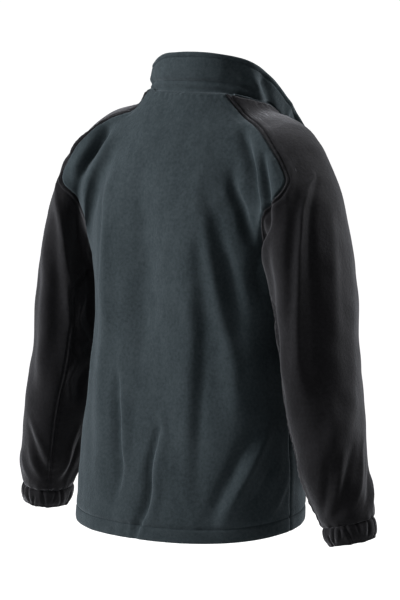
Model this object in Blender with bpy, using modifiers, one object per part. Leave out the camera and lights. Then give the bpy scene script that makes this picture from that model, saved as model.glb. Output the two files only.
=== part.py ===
"""Fleece zip jacket, filled out to its worn shape: hollow, with neck, hem and cuffs open.

The front faces -Y, the wearer's left is +X and up is +Z. The origin is the middle of the neck,
level with the back neck seam. Every size and table here is in millimetres.
"""

import math
from collections import namedtuple

import bmesh
import bpy
import numpy as np
from mathutils import Vector

MM = 0.001
COLLECTION = "fleece_zip_jacket"

# Cloth and seams.
SEAM_GAP = 0.3
FLEECE_WALL = 2.6
COLLAR_WALL = 2.6
CUFF_WALL = 3.0
TAPE_WALL = 1.0

# Rows and columns of cloth between the seams.
RAGLAN_ROWS = 15
SIDE_ROWS = 13
SLEEVE_ROWS = 13
BACK_COLUMNS = 18
FRONT_COLUMNS = 8
SLEEVE_COLUMNS = 18
COLLAR_ROWS = 4
EVEN_ROUNDS = 2

# The form that the cloth lies on: level rings for the body, and rings along each sleeve's middle line.
BodyRing = namedtuple("BodyRing", "height half_width front back")
BODY_RINGS = (
    BodyRing(90, 99, -74, 72),
    BodyRing(25, 97, -74, 68),
    BodyRing(0, 100, -78, 69),
    BodyRing(-25, 110, -88, 78),
    BodyRing(-60, 132, -99, 94),
    BodyRing(-110, 160, -112, 114),
    BodyRing(-160, 179, -117, 130),
    BodyRing(-220, 186, -118, 139),
    BodyRing(-285, 179, -112, 142),
    BodyRing(-345, 174, -104, 140),
    BodyRing(-420, 178, -97, 146),
    BodyRing(-520, 187, -92, 158),
    BodyRing(-620, 192, -86, 170),
    BodyRing(-720, 192, -74, 176),
)
BODY_SQUARENESS = 2.3

SleeveRing = namedtuple("SleeveRing", "along x y z half_width half_depth")
SLEEVE_RINGS = (
    SleeveRing(0, 72, 6, -60, 40, 50),
    SleeveRing(52, 121, 9, -74, 50, 61),
    SleeveRing(107, 163, 16, -104, 56, 70),
    SleeveRing(172, 195, 24, -160, 59, 78),
    SleeveRing(250, 218, 26, -234, 54, 80),
    SleeveRing(300, 230, 27, -283, 50, 79),
    SleeveRing(340, 236, 28, -323, 49, 78),
    SleeveRing(480, 251, 35, -461, 51, 72),
    SleeveRing(587, 277, 39, -565, 46, 58),
    SleeveRing(640, 292, 35, -616, 41, 48),
    SleeveRing(662, 297, 33, -638, 37, 43),
    SleeveRing(700, 304, 31, -675, 36, 42),
)
UNDERARM_ALONG = 286
CUFF_SEAM_ALONG = 658
CUFF_END_ALONG = 688
CENTRE_LINE_STEP = 5

# How softly a sleeve flows into the body, from the underarm up to the shoulder.
BLEND_HEIGHTS = (-250, -130)
BLEND_WIDTHS = (7, 42)

# Seams on the wearer's left, each through its own marks; the right side mirrors them.
BACK_NECK = ((73, 50, 0), (40, 64, 0), (0, 69, 0), (-40, 64, 0), (-73, 50, 0))
SIDE_NECK = ((96, -42, -42), (99, -18, -25), (98, 12, -14), (88, 36, -5), (73, 50, 0))
FRONT_NECK = ((96, -42, -42), (86, -78, -85), (70, -108, -128))
RAGLAN_BACK = (
    (73, 50, 0), (102, 52, -21), (141, 57, -50), (182, 70, -86), (199, 73, -108), (208, 75, -127),
    (207, 78, -143), (192, 80, -163), (172, 72, -212), (174, 55, -258), (178, 20, -288),
)
RAGLAN_FRONT = (
    (96, -42, -42), (128, -58, -74), (158, -67, -110), (177, -69, -148), (178, -50, -192),
    (174, -22, -250), (178, 20, -288),
)
SIDE_SEAM = ((178, 20, -288), (174, 21, -345), (178, 27, -420), (187, 36, -540), (192, 44, -665))
HEM_MIDDLE = 42
HEM_HEIGHT = -657
HEM_TILT = 0.12
HEM_BACK_ARC = (30, 145)
HEM_FRONT_BOW = 60

# Zip: each front's edge stands off the middle line, and above the slider it opens into a V.
ZIP_EDGE = 9.65
TEETH_WIDTH = 2.7
TEETH_FRONT = 0.2
TEETH_BACK = 2.8
TAPE_FRONT = 1.0
SLIDER_HEIGHT = -226
SLIDER_ROW = 9
UNDERARM_EDGE_HEIGHT = -300
ZIP_TWIST_ROUNDS = 10

# Zip slider and pull, about the pull's axis, which lies along X in front of the slider.
PLATE_HALF_WIDTH = 5.0
PLATE_DOWN = 6.0
PLATE_UP = 9.5
PLATE_WALL = 1.4
PLATE_CLEARANCE = 0.5
REAR_CLEARANCE = 1.1
SUNK = 0.5
POST_HALF_WIDTH = 1.4
POST_FROM = 5.2
POST_TO = 9.0
AXIS_STAND_OFF = 1.6
BAIL_HALF_WIDTH = 0.9
BAIL_INSIDE = (1.3, 2.0)
BAIL_WALL = 1.2
PULL_HALF_WIDTH = 3.0
PULL_EYE_HALF_WIDTH = 1.3
PULL_ROD = 0.9
PULL_EYE_END = 4.4
PULL_LENGTH = 27.0
PULL_HALF_WALL = 0.75
PULL_BEVEL = 0.25

# Collar: its top edge from the right front corner round the back to the left front corner.
COLLAR_TOP = (
    (-93, -138, -70), (-94, -112, -44), (-99, -75, -12), (-102, -30, 22), (-99, 20, 48), (-60, 62, 61),
    (0, 75, 61), (26, 72, 58), (52, 60, 47), (78, 30, 30), (90, -20, 4), (90, -65, -26), (86, -105, -56),
    (84, -130, -77),
)
CollarRoll = namedtuple("CollarRoll", "share back_roll front_roll")
COLLAR_ROLL = (
    CollarRoll(0.0, 0, 0),
    CollarRoll(0.2, 10, 2),
    CollarRoll(0.45, 7, 3),
    CollarRoll(0.75, 2, 2),
    CollarRoll(1.0, 0, 0),
)

# Gathered cuffs.
CUFF_GATHERS = 22
CUFF_GATHER_STEPS = 3
CUFF_GATHER_DEPTH = 1.5
CUFF_EDGE_SHARE = 0.6
CUFF_SWELL = 1.5
CUFF_ROWS = 2

# The largest folds, each a soft ridge (height above 0) or trough along a bowed line on the cloth.
Fold = namedtuple("Fold", "start middle end half_width height")
FOLDS = (
    Fold((-60, 150, -330), (-75, 160, -500), (-40, 178, -690), 46, 7),
    Fold((-150, 130, -520), (-120, 158, -610), (-95, 168, -690), 36, 6),
    Fold((20, 150, -520), (10, 165, -600), (48, 172, -690), 26, -6),
    Fold((110, 120, -470), (100, 140, -560), (120, 140, -680), 30, -5),
    Fold((75, 120, -110), (92, 128, -260), (84, 132, -430), 40, -6),
    Fold((-22, 132, -160), (-28, 138, -240), (-20, 142, -330), 34, -5),
    Fold((-214, 92, -190), (-232, 98, -300), (-244, 98, -420), 24, 7),
    Fold((-320, 10, -430), (-300, 70, -500), (-250, 80, -560), 26, 7),
    Fold((-320, 30, -520), (-300, 72, -560), (-262, 74, -600), 20, 6),
    Fold((240, 90, -200), (262, 88, -300), (262, 84, -420), 24, 6),
    Fold((300, 60, -400), (280, 84, -480), (250, 70, -540), 24, 6),
    Fold((206, -70, -230), (232, -70, -330), (250, -50, -430), 24, 6),
    Fold((-206, -70, -240), (-236, -68, -330), (-252, -48, -420), 24, 6),
    Fold((140, -70, -300), (120, -85, -420), (128, -75, -560), 34, -6),
    Fold((-140, -70, -290), (-118, -85, -430), (-124, -75, -570), 34, -6),
)
FOLD_SAMPLES = 25
FOLD_TAPER = 0.7
FOLD_FALL = 1.6

# Rim faces on both sides of a seam are split alike, by their corners' order along this direction.
RIM_ORDER = Vector((0.31, 0.53, 0.79))

Cloth = namedtuple("Cloth", "points normals")


def read_table(rows, stations):
    """Read every later column of a table at the given stations, on a smooth curve through its rows."""
    table = np.array(rows, float)
    table = table[np.argsort(table[:, 0])]
    station, values = table[:, 0], table[:, 1:]
    slopes = np.gradient(values, station, axis=0)
    stations = np.clip(stations, station[0], station[-1])
    low = np.clip(np.searchsorted(station, stations) - 1, 0, len(station) - 2)
    step = (station[low + 1] - station[low])[..., None]
    part = (stations - station[low])[..., None] / step
    rise = values[low + 1] - values[low]
    leave = slopes[low] * step - rise
    arrive = rise - slopes[low + 1] * step
    bow = part * (1 - part) * (leave * (1 - part) + arrive * part)
    return np.moveaxis(values[low] + part * rise + bow, -1, 0)


def unit(vectors):
    """Scale vectors to a length of 1."""
    return vectors / np.linalg.norm(vectors, axis=-1, keepdims=True)


def body_reach(points):
    """How far each point lies outside the body's rings, negative inside."""
    half_width, front, back = read_table(BODY_RINGS, points[:, 2])
    from_middle = points[:, 1] - (front + back) / 2
    across = np.abs(points[:, 0]) / half_width
    deep = np.abs(from_middle) / ((back - front) / 2)
    level = (across**BODY_SQUARENESS + deep**BODY_SQUARENESS) ** (1 / BODY_SQUARENESS)
    radius = np.hypot(points[:, 0], from_middle)
    return radius * (1 - 1 / np.maximum(level, 1e-6))


def sleeve_frame(along):
    """The middle line's points, directions, sideways and depth axes, and ring sizes at these stations."""
    inside = np.clip(along, 0, SLEEVE_RINGS[-1].along)
    columns = read_table(SLEEVE_RINGS, inside)
    ahead = read_table(SLEEVE_RINGS, inside + 1.0)[:3]
    behind = read_table(SLEEVE_RINGS, inside - 1.0)[:3]
    direction = unit(np.moveaxis(ahead - behind, 0, -1))
    depth_axis = np.zeros_like(direction)
    depth_axis[..., 1] = 1.0
    depth_axis = unit(depth_axis - direction * direction[..., 1:2])
    side_axis = np.cross(direction, depth_axis)
    middle = np.moveaxis(columns[:3], 0, -1) + direction * (along - inside)[..., None]
    return middle, direction, side_axis, depth_axis, columns[3], columns[4]


LINE_ALONG = np.arange(0.0, SLEEVE_RINGS[-1].along + 1, CENTRE_LINE_STEP)
LINE_POINTS, LINE_DIRECTIONS = sleeve_frame(LINE_ALONG)[:2]


def sleeve_reach(points):
    """How far each point lies outside the nearer sleeve's rings, negative inside."""
    folded = np.column_stack([np.abs(points[:, 0]), points[:, 1:]])
    nearness = (folded**2).sum(1)[:, None] - 2 * folded @ LINE_POINTS.T + (LINE_POINTS**2).sum(1)
    nearest = nearness.argmin(1)
    onward = ((folded - LINE_POINTS[nearest]) * LINE_DIRECTIONS[nearest]).sum(1)
    along = np.clip(LINE_ALONG[nearest] + onward, 0, SLEEVE_RINGS[-1].along)
    middle, direction, side_axis, depth_axis, half_width, half_depth = sleeve_frame(along)
    offset = folded - middle
    across = (offset * side_axis).sum(1)
    deep = (offset * depth_axis).sum(1)
    before_start = np.where(along <= 0, (offset * direction).sum(1), 0.0)
    level = np.sqrt((across / half_width) ** 2 + (deep / half_depth) ** 2 + (before_start / half_width) ** 2)
    radius = np.sqrt(across**2 + deep**2 + before_start**2)
    return radius * (1 - 1 / np.maximum(level, 1e-6))


def form_reach(points):
    """How far each point lies outside the jacket's form, where the sleeves flow into the body."""
    body = body_reach(points)
    sleeve = sleeve_reach(points)
    softness = np.interp(points[:, 2], BLEND_HEIGHTS, BLEND_WIDTHS)
    share = np.clip(0.5 + 0.5 * (sleeve - body) / softness, 0, 1)
    return sleeve * (1 - share) + body * share - softness * share * (1 - share)


def form_slope(points, step=0.4):
    """The direction and rate at which form_reach grows."""
    slope = np.empty_like(points)
    for axis in range(3):
        shift = np.eye(3)[axis] * step
        slope[:, axis] = (form_reach(points + shift) - form_reach(points - shift)) / (2 * step)
    return slope


def settle(points, only_axis=None, rounds=8, longest_move=18.0):
    """Bring points onto the form, along its slope or along one axis only."""
    shape = np.shape(points)
    points = np.array(points, float).reshape(-1, 3)
    for _ in range(rounds):
        reach = form_reach(points)
        move = form_slope(points)
        if only_axis is not None:
            along_axis = np.zeros_like(move)
            along_axis[:, only_axis] = move[:, only_axis]
            move = along_axis
        move = -move * (reach / np.maximum((move**2).sum(1), 0.05))[:, None]
        length = np.linalg.norm(move, axis=1, keepdims=True)
        points = points + move * np.minimum(1, longest_move / np.maximum(length, 1e-9))
    return points.reshape(shape)


def form_normals(points):
    """Unit vectors that point out of the form."""
    return unit(form_slope(points.reshape(-1, 3))).reshape(points.shape)


def spaced(line, count):
    """The line again as count even steps."""
    along = np.concatenate([[0], np.cumsum(np.linalg.norm(np.diff(line, axis=0), axis=1))])
    stations = np.linspace(0, along[-1], count + 1)
    return np.stack([np.interp(stations, along, line[:, axis]) for axis in range(3)], axis=1)


def curve_through(marks, count):
    """A smooth curve through its marks, as count even steps."""
    marks = np.array(marks, float)
    chord = np.concatenate([[0], np.cumsum(np.linalg.norm(np.diff(marks, axis=0), axis=1))])
    rows = np.column_stack([chord, marks])
    fine = np.moveaxis(read_table(rows, np.linspace(0, chord[-1], 400)), 0, -1)
    return spaced(fine, count)


def seam_curve(marks, count):
    """A seam that lies on the form and passes its marks."""
    ends = settle(np.array(marks, float))
    return settle(curve_through(ends, count))


def patch(top, bottom, left, right):
    """Points between four edges that meet at their corners, rows from top to bottom."""
    across = np.linspace(0, 1, len(top))[None, :, None]
    lengths = [np.linalg.norm(np.diff(side, axis=0), axis=1) for side in (left, right)]
    down = np.concatenate([[0], np.cumsum(lengths[0] + lengths[1])])
    down = (down / down[-1])[:, None, None]
    between_ends = (1 - down) * top[None] + down * bottom[None]
    between_sides = (1 - across) * left[:, None] + across * right[:, None]
    upper = (1 - across) * top[0] + across * top[-1]
    lower = (1 - across) * bottom[0] + across * bottom[-1]
    return between_ends + between_sides - (1 - down) * upper - down * lower


def even_out(grid):
    """A grid on the form with its inner points spaced evenly between their neighbours."""
    for _ in range(EVEN_ROUNDS):
        around = grid[:-2, 1:-1] + grid[2:, 1:-1] + grid[1:-1, :-2] + grid[1:-1, 2:]
        grid[1:-1, 1:-1] = settle(around / 4)
    return grid


def mirrored(points):
    """The same points on the wearer's other side."""
    return points * np.array([-1.0, 1.0, 1.0])


def fold_heights(points):
    """How far the folds lift each point off the form."""
    flat = points.reshape(-1, 3)
    lift = np.zeros(len(flat))
    share = np.linspace(0, 1, FOLD_SAMPLES)
    for fold in FOLDS:
        start, middle, end = (np.array(mark, float) for mark in fold[:3])
        control = 2 * middle - (start + end) / 2
        bow = np.outer((1 - share) ** 2, start) + np.outer(share**2, end)
        bow += np.outer(2 * share * (1 - share), control)
        distance = np.linalg.norm(flat[:, None] - bow[None], axis=2)
        nearest = distance.argmin(1)
        across = distance.min(1) / fold.half_width
        taper = np.sin(math.pi * share[nearest]) ** FOLD_TAPER
        lift += fold.height * taper * np.exp(-(across**2) * FOLD_FALL)
    return lift.reshape(points.shape[:-1])


def clothed(points):
    """Cloth over these points of the form: its outer points with the folds, and its normals."""
    normals = form_normals(points)
    return Cloth(points + normals * fold_heights(points)[..., None], normals)


def hem_height(depth):
    """The hem's height at this place from front to back."""
    return HEM_HEIGHT - HEM_TILT * (depth - HEM_MIDDLE)


def seams():
    """Every seam on the wearer's left, from shared marks so that neighbours meet."""
    underarm = settle(np.array([RAGLAN_BACK[-1]], float))[0]
    back = seam_curve(RAGLAN_BACK[:-1] + (tuple(underarm),), RAGLAN_ROWS)
    front = seam_curve(RAGLAN_FRONT[:-1] + (tuple(underarm),), RAGLAN_ROWS)
    side_marks = np.array((tuple(underarm),) + SIDE_SEAM[1:], float)
    side_marks[-1, 2] = hem_height(side_marks[-1, 1])
    side = seam_curve(side_marks, SIDE_ROWS)
    front[-1] = side[0] = back[-1] = underarm
    return {"raglan_back": back, "raglan_front": front, "side": side}


def joined(first, second):
    """Two lines as one, where the first ends at the second's start."""
    return np.concatenate([first, second[1:]])


def zip_edge(neck_mark):
    """The left front's zip edge, from the neck seam past the slider to the hem."""
    above = np.linspace(neck_mark[2], SLIDER_HEIGHT, SLIDER_ROW + 1)
    middle = np.linspace(SLIDER_HEIGHT, UNDERARM_EDGE_HEIGHT, RAGLAN_ROWS - SLIDER_ROW + 1)
    below = np.linspace(UNDERARM_EDGE_HEIGHT, hem_height(BODY_RINGS[-1].front), SIDE_ROWS + 1)
    heights = np.concatenate([above, middle[1:], below[1:]])
    opening = (heights - SLIDER_HEIGHT) / (neck_mark[2] - SLIDER_HEIGHT)
    out = ZIP_EDGE + (neck_mark[0] - ZIP_EDGE) * np.maximum(opening, 0)
    edge = np.column_stack([out, np.full(len(heights), neck_mark[1]), heights])
    return settle(edge, only_axis=1)


def body_points(seam):
    """The back's and the left front's points on the form."""
    back_side = joined(seam["raglan_back"], seam["side"])
    front_side = joined(seam["raglan_front"], seam["side"])
    back_top = seam_curve(BACK_NECK, BACK_COLUMNS)
    back_top[0] = back_side[0]
    back_top[-1] = mirrored(back_side[0])
    hem_side = back_side[-1]
    angle = np.linspace(0, math.pi, BACK_COLUMNS + 1)
    depth = HEM_BACK_ARC[0] + HEM_BACK_ARC[1] * np.sin(angle)
    hem = drop_to_hem(np.column_stack([hem_side[0] * np.cos(angle), depth, 0 * angle]))
    hem[0], hem[-1] = hem_side, mirrored(hem_side)
    back = settle(patch(back_top, hem, back_side, mirrored(back_side)))
    back[:, 0], back[:, -1] = back_side, mirrored(back_side)
    back[0], back[-1] = back_top, hem

    front_top = seam_curve(FRONT_NECK, FRONT_COLUMNS)
    front_top[0] = front_side[0]
    edge = zip_edge(front_top[-1])
    front_top[-1] = edge[0]
    share = np.linspace(0, 1, FRONT_COLUMNS + 1)
    low = np.outer(1 - share, hem_side) + np.outer(share, edge[-1])
    low[:, 1] -= HEM_FRONT_BOW * np.sin(math.pi * share)
    low = drop_to_hem(low)
    low[0], low[-1] = hem_side, edge[-1]
    front = settle(patch(front_top, low, front_side, edge))
    front[:, 0], front[:, -1] = front_side, edge
    front[0], front[-1] = front_top, low
    return even_out(back), even_out(front)


def drop_to_hem(points):
    """Points on the form at the hem's own height."""
    points = np.array(points, float)
    for _ in range(4):
        points[:, 2] = hem_height(points[:, 1])
        points = settle(points, rounds=3)
    points[:, 2] = hem_height(points[:, 1])
    return points


def sleeve_ring(along, angles):
    """Points round a sleeve at these stations and angles, where 0 is outside and 90 is the back."""
    middle, _, side_axis, depth_axis, half_width, half_depth = sleeve_frame(along)
    sideways = (np.cos(angles) * half_width)[..., None] * side_axis
    deep = (np.sin(angles) * half_depth)[..., None] * depth_axis
    return middle + sideways + deep


def sleeve_place(points, turn=0):
    """The station and angle of each point round the left sleeve, with the angle on the front or back side."""
    nearest = np.linalg.norm(points[:, None] - LINE_POINTS[None], axis=2).argmin(1)
    onward = ((points - LINE_POINTS[nearest]) * LINE_DIRECTIONS[nearest]).sum(1)
    along = LINE_ALONG[nearest] + onward
    middle, _, side_axis, depth_axis, half_width, half_depth = sleeve_frame(along)
    across = ((points - middle) * side_axis).sum(1) / half_width
    deep = ((points - middle) * depth_axis).sum(1) / half_depth
    angle = np.arctan2(deep, across)
    if turn:
        angle = turn * np.abs(np.mod(turn * angle, 2 * math.pi))
    return np.column_stack([along, angle])


def sleeve_points(seam):
    """The left sleeve's points: the cap between the raglan seams, then closed rings to the cuff."""
    front_seam, back_seam = seam["raglan_front"], seam["raglan_back"]
    top = seam_curve(SIDE_NECK, SLEEVE_COLUMNS)
    top[0], top[-1] = front_seam[0], back_seam[0]
    front_places = sleeve_place(front_seam, -1)
    back_places = sleeve_place(back_seam, 1)
    front_places[-1, 1], back_places[-1, 1] = -math.pi, math.pi
    ring_places = np.linspace(front_places[-1], back_places[-1], SLEEVE_COLUMNS + 1)
    top_places = sleeve_place(top)
    top_places[0], top_places[-1] = front_places[0], back_places[0]
    places = patch(top_places, ring_places, front_places, back_places)
    cap = settle(sleeve_ring(places[..., 0], places[..., 1]))
    cap[:, 0], cap[:, -1], cap[0] = front_seam, back_seam, top
    stations = np.linspace(UNDERARM_ALONG, CUFF_SEAM_ALONG, SLEEVE_ROWS + 1)[1:]
    angles = np.linspace(-math.pi, math.pi, SLEEVE_COLUMNS + 1)
    tube = sleeve_ring(*np.meshgrid(stations, angles, indexing="ij"))
    return np.concatenate([cap, settle(tube)])


def collar_points(seam_line):
    """The collar's rows from the neck seam up to its top edge, from the right front round to the left."""
    along = np.concatenate([[0], np.cumsum(np.linalg.norm(np.diff(seam_line, axis=0), axis=1))])
    share = along / along[-1]
    fine = curve_through(COLLAR_TOP, 600)
    fine_share = np.linspace(0, 1, len(fine))
    top = np.stack([np.interp(share, fine_share, fine[:, axis]) for axis in range(3)], axis=1)
    tangent = np.gradient((seam_line + top) / 2, axis=0)
    outward = unit(np.column_stack([tangent[:, 1], -tangent[:, 0], 0 * share]))
    from_back = np.abs(2 * share - 1)
    rows = []
    for height in np.linspace(0, 1, COLLAR_ROWS + 1):
        back_roll, front_roll = read_table(COLLAR_ROLL, np.array([height]))[:, 0]
        roll = back_roll + (front_roll - back_roll) * np.clip(from_back * 1.2, 0, 1)
        rows.append(seam_line + (top - seam_line) * height + outward * roll[:, None])
    return np.array(rows)


def grid_normals(points, towards):
    """Normals of a grid of points, on the side that `towards` points to."""
    down = np.gradient(points, axis=0)
    across = np.gradient(points, axis=1)
    normals = unit(np.cross(down, across))
    return normals * np.sign((normals * towards).sum(-1, keepdims=True))


def pull_in(edge, inner, amount):
    """An edge moved into its own cloth by this amount, square to the edge."""
    tangent = unit(np.gradient(edge, axis=0))
    inward = inner - edge
    inward[0], inward[-1] = inward[1], inward[-2]
    inward = unit(inward - tangent * (inward * tangent).sum(-1, keepdims=True))
    return edge + inward * amount


def inset(points, sides, amount=SEAM_GAP / 2):
    """A grid of points with the named sides pulled in from their seams."""
    points = points.copy()
    if "left" in sides:
        points[:, 0] = pull_in(points[:, 0], points[:, 1], amount)
    if "right" in sides:
        points[:, -1] = pull_in(points[:, -1], points[:, -2], amount)
    if "top" in sides:
        points[0] = pull_in(points[0], points[1], amount)
    if "bottom" in sides:
        points[-1] = pull_in(points[-1], points[-2], amount)
    return points


def wall_mesh(name, outer, inner, closed_from=None):
    """A wall between two grids of points; rows from closed_from on are closed rings."""
    rows, columns = outer.shape[:2]
    mesh = bmesh.new()
    layers = []
    for grid in (outer, inner):
        layer = []
        for row in range(rows):
            line = [mesh.verts.new(grid[row, column] * MM) for column in range(columns - 1)]
            if closed_from is not None and row >= closed_from:
                line.append(line[0])
            else:
                line.append(mesh.verts.new(grid[row, -1] * MM))
            layer.append(line)
        layers.append(layer)
    falling = np.linalg.norm(outer[:-1, :-1] - outer[1:, 1:], axis=2)
    rising = np.linalg.norm(outer[1:, :-1] - outer[:-1, 1:], axis=2)
    for layer in layers:
        for row in range(rows - 1):
            for column in range(columns - 1):
                a, b = layer[row][column], layer[row][column + 1]
                c, d = layer[row + 1][column + 1], layer[row + 1][column]
                if falling[row, column] < rising[row, column]:
                    mesh.faces.new((a, b, c))
                    mesh.faces.new((a, c, d))
                else:
                    mesh.faces.new((a, b, d))
                    mesh.faces.new((b, c, d))
    open_rows = rows - 1 if closed_from is None else closed_from
    rims = [[(layer[0][i], layer[0][i + 1]) for i in range(columns - 1)] for layer in layers]
    feet = [[(layer[-1][i], layer[-1][i + 1]) for i in range(columns - 1)] for layer in layers]
    lefts = [[(layer[i][0], layer[i + 1][0]) for i in range(open_rows)] for layer in layers]
    rights = [[(layer[i][-1], layer[i + 1][-1]) for i in range(open_rows)] for layer in layers]
    for outer_edges, inner_edges in (rims, feet, lefts, rights):
        for (a, b), (c, d) in zip(outer_edges, inner_edges):
            if a.co.dot(RIM_ORDER) < b.co.dot(RIM_ORDER):
                a, b, c, d = b, a, d, c
            mesh.faces.new((a, b, d))
            mesh.faces.new((a, d, c))
    bmesh.ops.recalc_face_normals(mesh, faces=mesh.faces)
    data = bpy.data.meshes.new(name)
    mesh.to_mesh(data)
    mesh.free()
    return data


def finish(name, colour, roughness, metallic=0.0):
    """A plain material for one sub-part."""
    material = bpy.data.materials.new(name)
    material.use_nodes = True
    shader = material.node_tree.nodes["Principled BSDF"]
    shader.inputs["Base Color"].default_value = (*colour, 1.0)
    shader.inputs["Roughness"].default_value = roughness
    shader.inputs["Metallic"].default_value = metallic
    return material


def add_part(name, data, material, collection):
    """Place a mesh as a named sub-part."""
    part = bpy.data.objects.new(name, data)
    data.materials.append(material)
    data.shade_smooth()
    data.set_sharp_from_angle(angle=math.radians(40))
    collection.objects.link(part)
    return part


def add_wall(name, cloth, sides, wall, material, collection):
    """A cloth piece of this wall, its outer points on the cloth and its seam edges set back."""
    outer = inset(cloth.points, sides)
    inner = inset(cloth.points - cloth.normals * wall, sides)
    return add_part(name, wall_mesh(name, outer, inner), material, collection)


def add_strip(name, edge, outward, normals, near, far, front, back, material, collection):
    """A long strip beside an edge, from near to far off it and from front to back under the outer face."""
    def line(off, depth):
        return edge + outward * off - normals * depth

    outer = np.stack([line(near, front), line(far, front)], axis=1)
    inner = np.stack([line(near, back), line(far, back)], axis=1)
    return add_part(name, wall_mesh(name, outer, inner), material, collection)


def add_box(mesh, low, high):
    """A block between two corners, in an open mesh."""
    low, high = np.array(low, float), np.array(high, float)
    corners = bmesh.ops.create_cube(mesh, size=1.0)["verts"]
    for corner in corners:
        share = np.array(corner.co) + 0.5
        corner.co = (low + (high - low) * share) * MM


def block(name, low, high, collection):
    """A block as an object of its own, for joining or cutting."""
    mesh = bmesh.new()
    add_box(mesh, low, high)
    data = bpy.data.meshes.new(name)
    mesh.to_mesh(data)
    mesh.free()
    part = bpy.data.objects.new(name, data)
    collection.objects.link(part)
    part.hide_render = True
    part.display_type = "WIRE"
    return part


def combine(part, other, operation):
    """Add or cut another block."""
    step = part.modifiers.new(other.name, "BOOLEAN")
    step.object = other
    step.operation = operation


def pull_axis(face_depth):
    """The point on the middle line where the pull's axis lies."""
    plate_front = face_depth + TEETH_FRONT - PLATE_CLEARANCE - PLATE_WALL
    return np.array([0.0, plate_front - AXIS_STAND_OFF, SLIDER_HEIGHT + 1.0])


def add_slider(face_depth, material, collection, cutters):
    """The slider: two plates joined by a post in the V, with a bail for the pull."""
    plate_back = face_depth + TEETH_FRONT - PLATE_CLEARANCE
    plate_front = plate_back - PLATE_WALL
    rear_front = face_depth + TEETH_BACK + REAR_CLEARANCE
    axis = pull_axis(face_depth)
    low, high = SLIDER_HEIGHT - PLATE_DOWN, SLIDER_HEIGHT + PLATE_UP
    slider = block("zip_slider", (-PLATE_HALF_WIDTH, plate_front, low),
                   (PLATE_HALF_WIDTH, plate_back, high), collection)
    slider.hide_render = False
    slider.display_type = "TEXTURED"
    rear = block("slider_rear", (-PLATE_HALF_WIDTH, rear_front, low),
                 (PLATE_HALF_WIDTH, rear_front + PLATE_WALL, high), cutters)
    post = block("slider_post", (-POST_HALF_WIDTH, plate_front + SUNK, SLIDER_HEIGHT + POST_FROM),
                 (POST_HALF_WIDTH, rear_front + PLATE_WALL - SUNK, SLIDER_HEIGHT + POST_TO), cutters)
    inside_depth, inside_height = BAIL_INSIDE
    bail_front = axis[1] - inside_depth - BAIL_WALL
    bail_low, bail_high = axis[2] - inside_height - BAIL_WALL, axis[2] + inside_height + BAIL_WALL
    arch = block("slider_bail", (-BAIL_HALF_WIDTH, bail_front, bail_low),
                 (BAIL_HALF_WIDTH, plate_front + SUNK, bail_high), cutters)
    eye = block("slider_bail_eye", (-BAIL_HALF_WIDTH - 1, axis[1] - inside_depth, bail_low + BAIL_WALL),
                (BAIL_HALF_WIDTH + 1, plate_front, bail_high - BAIL_WALL), cutters)
    combine(arch, eye, "DIFFERENCE")
    for other in (rear, post, arch):
        combine(slider, other, "UNION")
    slider.data.materials.append(material)
    return slider


def add_pull(face_depth, material, collection, cutters):
    """The pull tab, hanging from its rod under the bail; its origin is on its axis."""
    axis = pull_axis(face_depth)
    pull = block("zip_pull", (-PULL_HALF_WIDTH, -PULL_HALF_WALL, -PULL_LENGTH),
                 (PULL_HALF_WIDTH, PULL_HALF_WALL, PULL_ROD), collection)
    pull.hide_render = False
    pull.display_type = "TEXTURED"
    eye = block("pull_eye", (-PULL_EYE_HALF_WIDTH, -PULL_HALF_WALL - 1, -PULL_EYE_END),
                (PULL_EYE_HALF_WIDTH, PULL_HALF_WALL + 1, -PULL_ROD), cutters)
    eye.location = pull.location = axis * MM
    combine(pull, eye, "DIFFERENCE")
    round_off = pull.modifiers.new("rounded", "BEVEL")
    round_off.width = PULL_BEVEL * MM
    round_off.segments = 1
    round_off.limit_method = "ANGLE"
    pull.data.materials.append(material)
    return pull


def add_cuff(name, side, material, collection):
    """A gathered ring of cloth round elastic, closed round the sleeve's end."""
    steps = CUFF_GATHERS * CUFF_GATHER_STEPS
    around = np.linspace(0, 2 * math.pi, steps + 1)
    wave = np.cos(around * CUFF_GATHERS) * CUFF_GATHER_DEPTH
    outer, inner = [], []
    for share in np.linspace(0, 1, CUFF_ROWS + 1):
        along = CUFF_SEAM_ALONG + SEAM_GAP + (CUFF_END_ALONG - CUFF_SEAM_ALONG - SEAM_GAP) * share
        middle, _, side_axis, depth_axis, half_width, half_depth = sleeve_frame(np.array([along]))
        swell = math.sin(math.pi * share)
        puff = wave * (CUFF_EDGE_SHARE + (1 - CUFF_EDGE_SHARE) * swell) + CUFF_SWELL * swell
        for rings, wall in ((outer, 0.0), (inner, CUFF_WALL)):
            sideways = np.cos(around) * (half_width[0] + puff - wall)
            deep = np.sin(around) * (half_depth[0] + puff - wall)
            ring = middle[0] + np.outer(sideways, side_axis[0]) + np.outer(deep, depth_axis[0])
            rings.append(ring * np.array([side, 1.0, 1.0]))
    data = wall_mesh(name, np.array(outer), np.array(inner), closed_from=0)
    return add_part(name, data, material, collection)


def new_collection(name):
    """An empty collection in the scene."""
    collection = bpy.data.collections.new(name)
    bpy.context.scene.collection.children.link(collection)
    return collection


def collar_cloth(fronts, sleeves, back):
    """The collar on the whole neck line, which runs over both fronts, both sleeves and the back."""
    pieces = (fronts[-1], sleeves[-1], back, sleeves[1], fronts[1])
    tops = [[piece.points[0], piece.normals[0]] for piece in pieces]
    for turned in (tops[0], tops[2], tops[3]):
        turned[:] = [line[::-1] for line in turned]
    neck_line, neck_normals = tops[0]
    for points, normals in tops[1:]:
        neck_line = joined(neck_line, points)
        neck_normals = joined(neck_normals, normals)
    outer = collar_points(neck_line)
    level = np.array([1.0, 1.0, 0.0])
    normals = grid_normals(outer, (outer - outer.mean(axis=(0, 1))) * level)
    normals[0] = neck_normals
    return Cloth(outer, normals)


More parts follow.
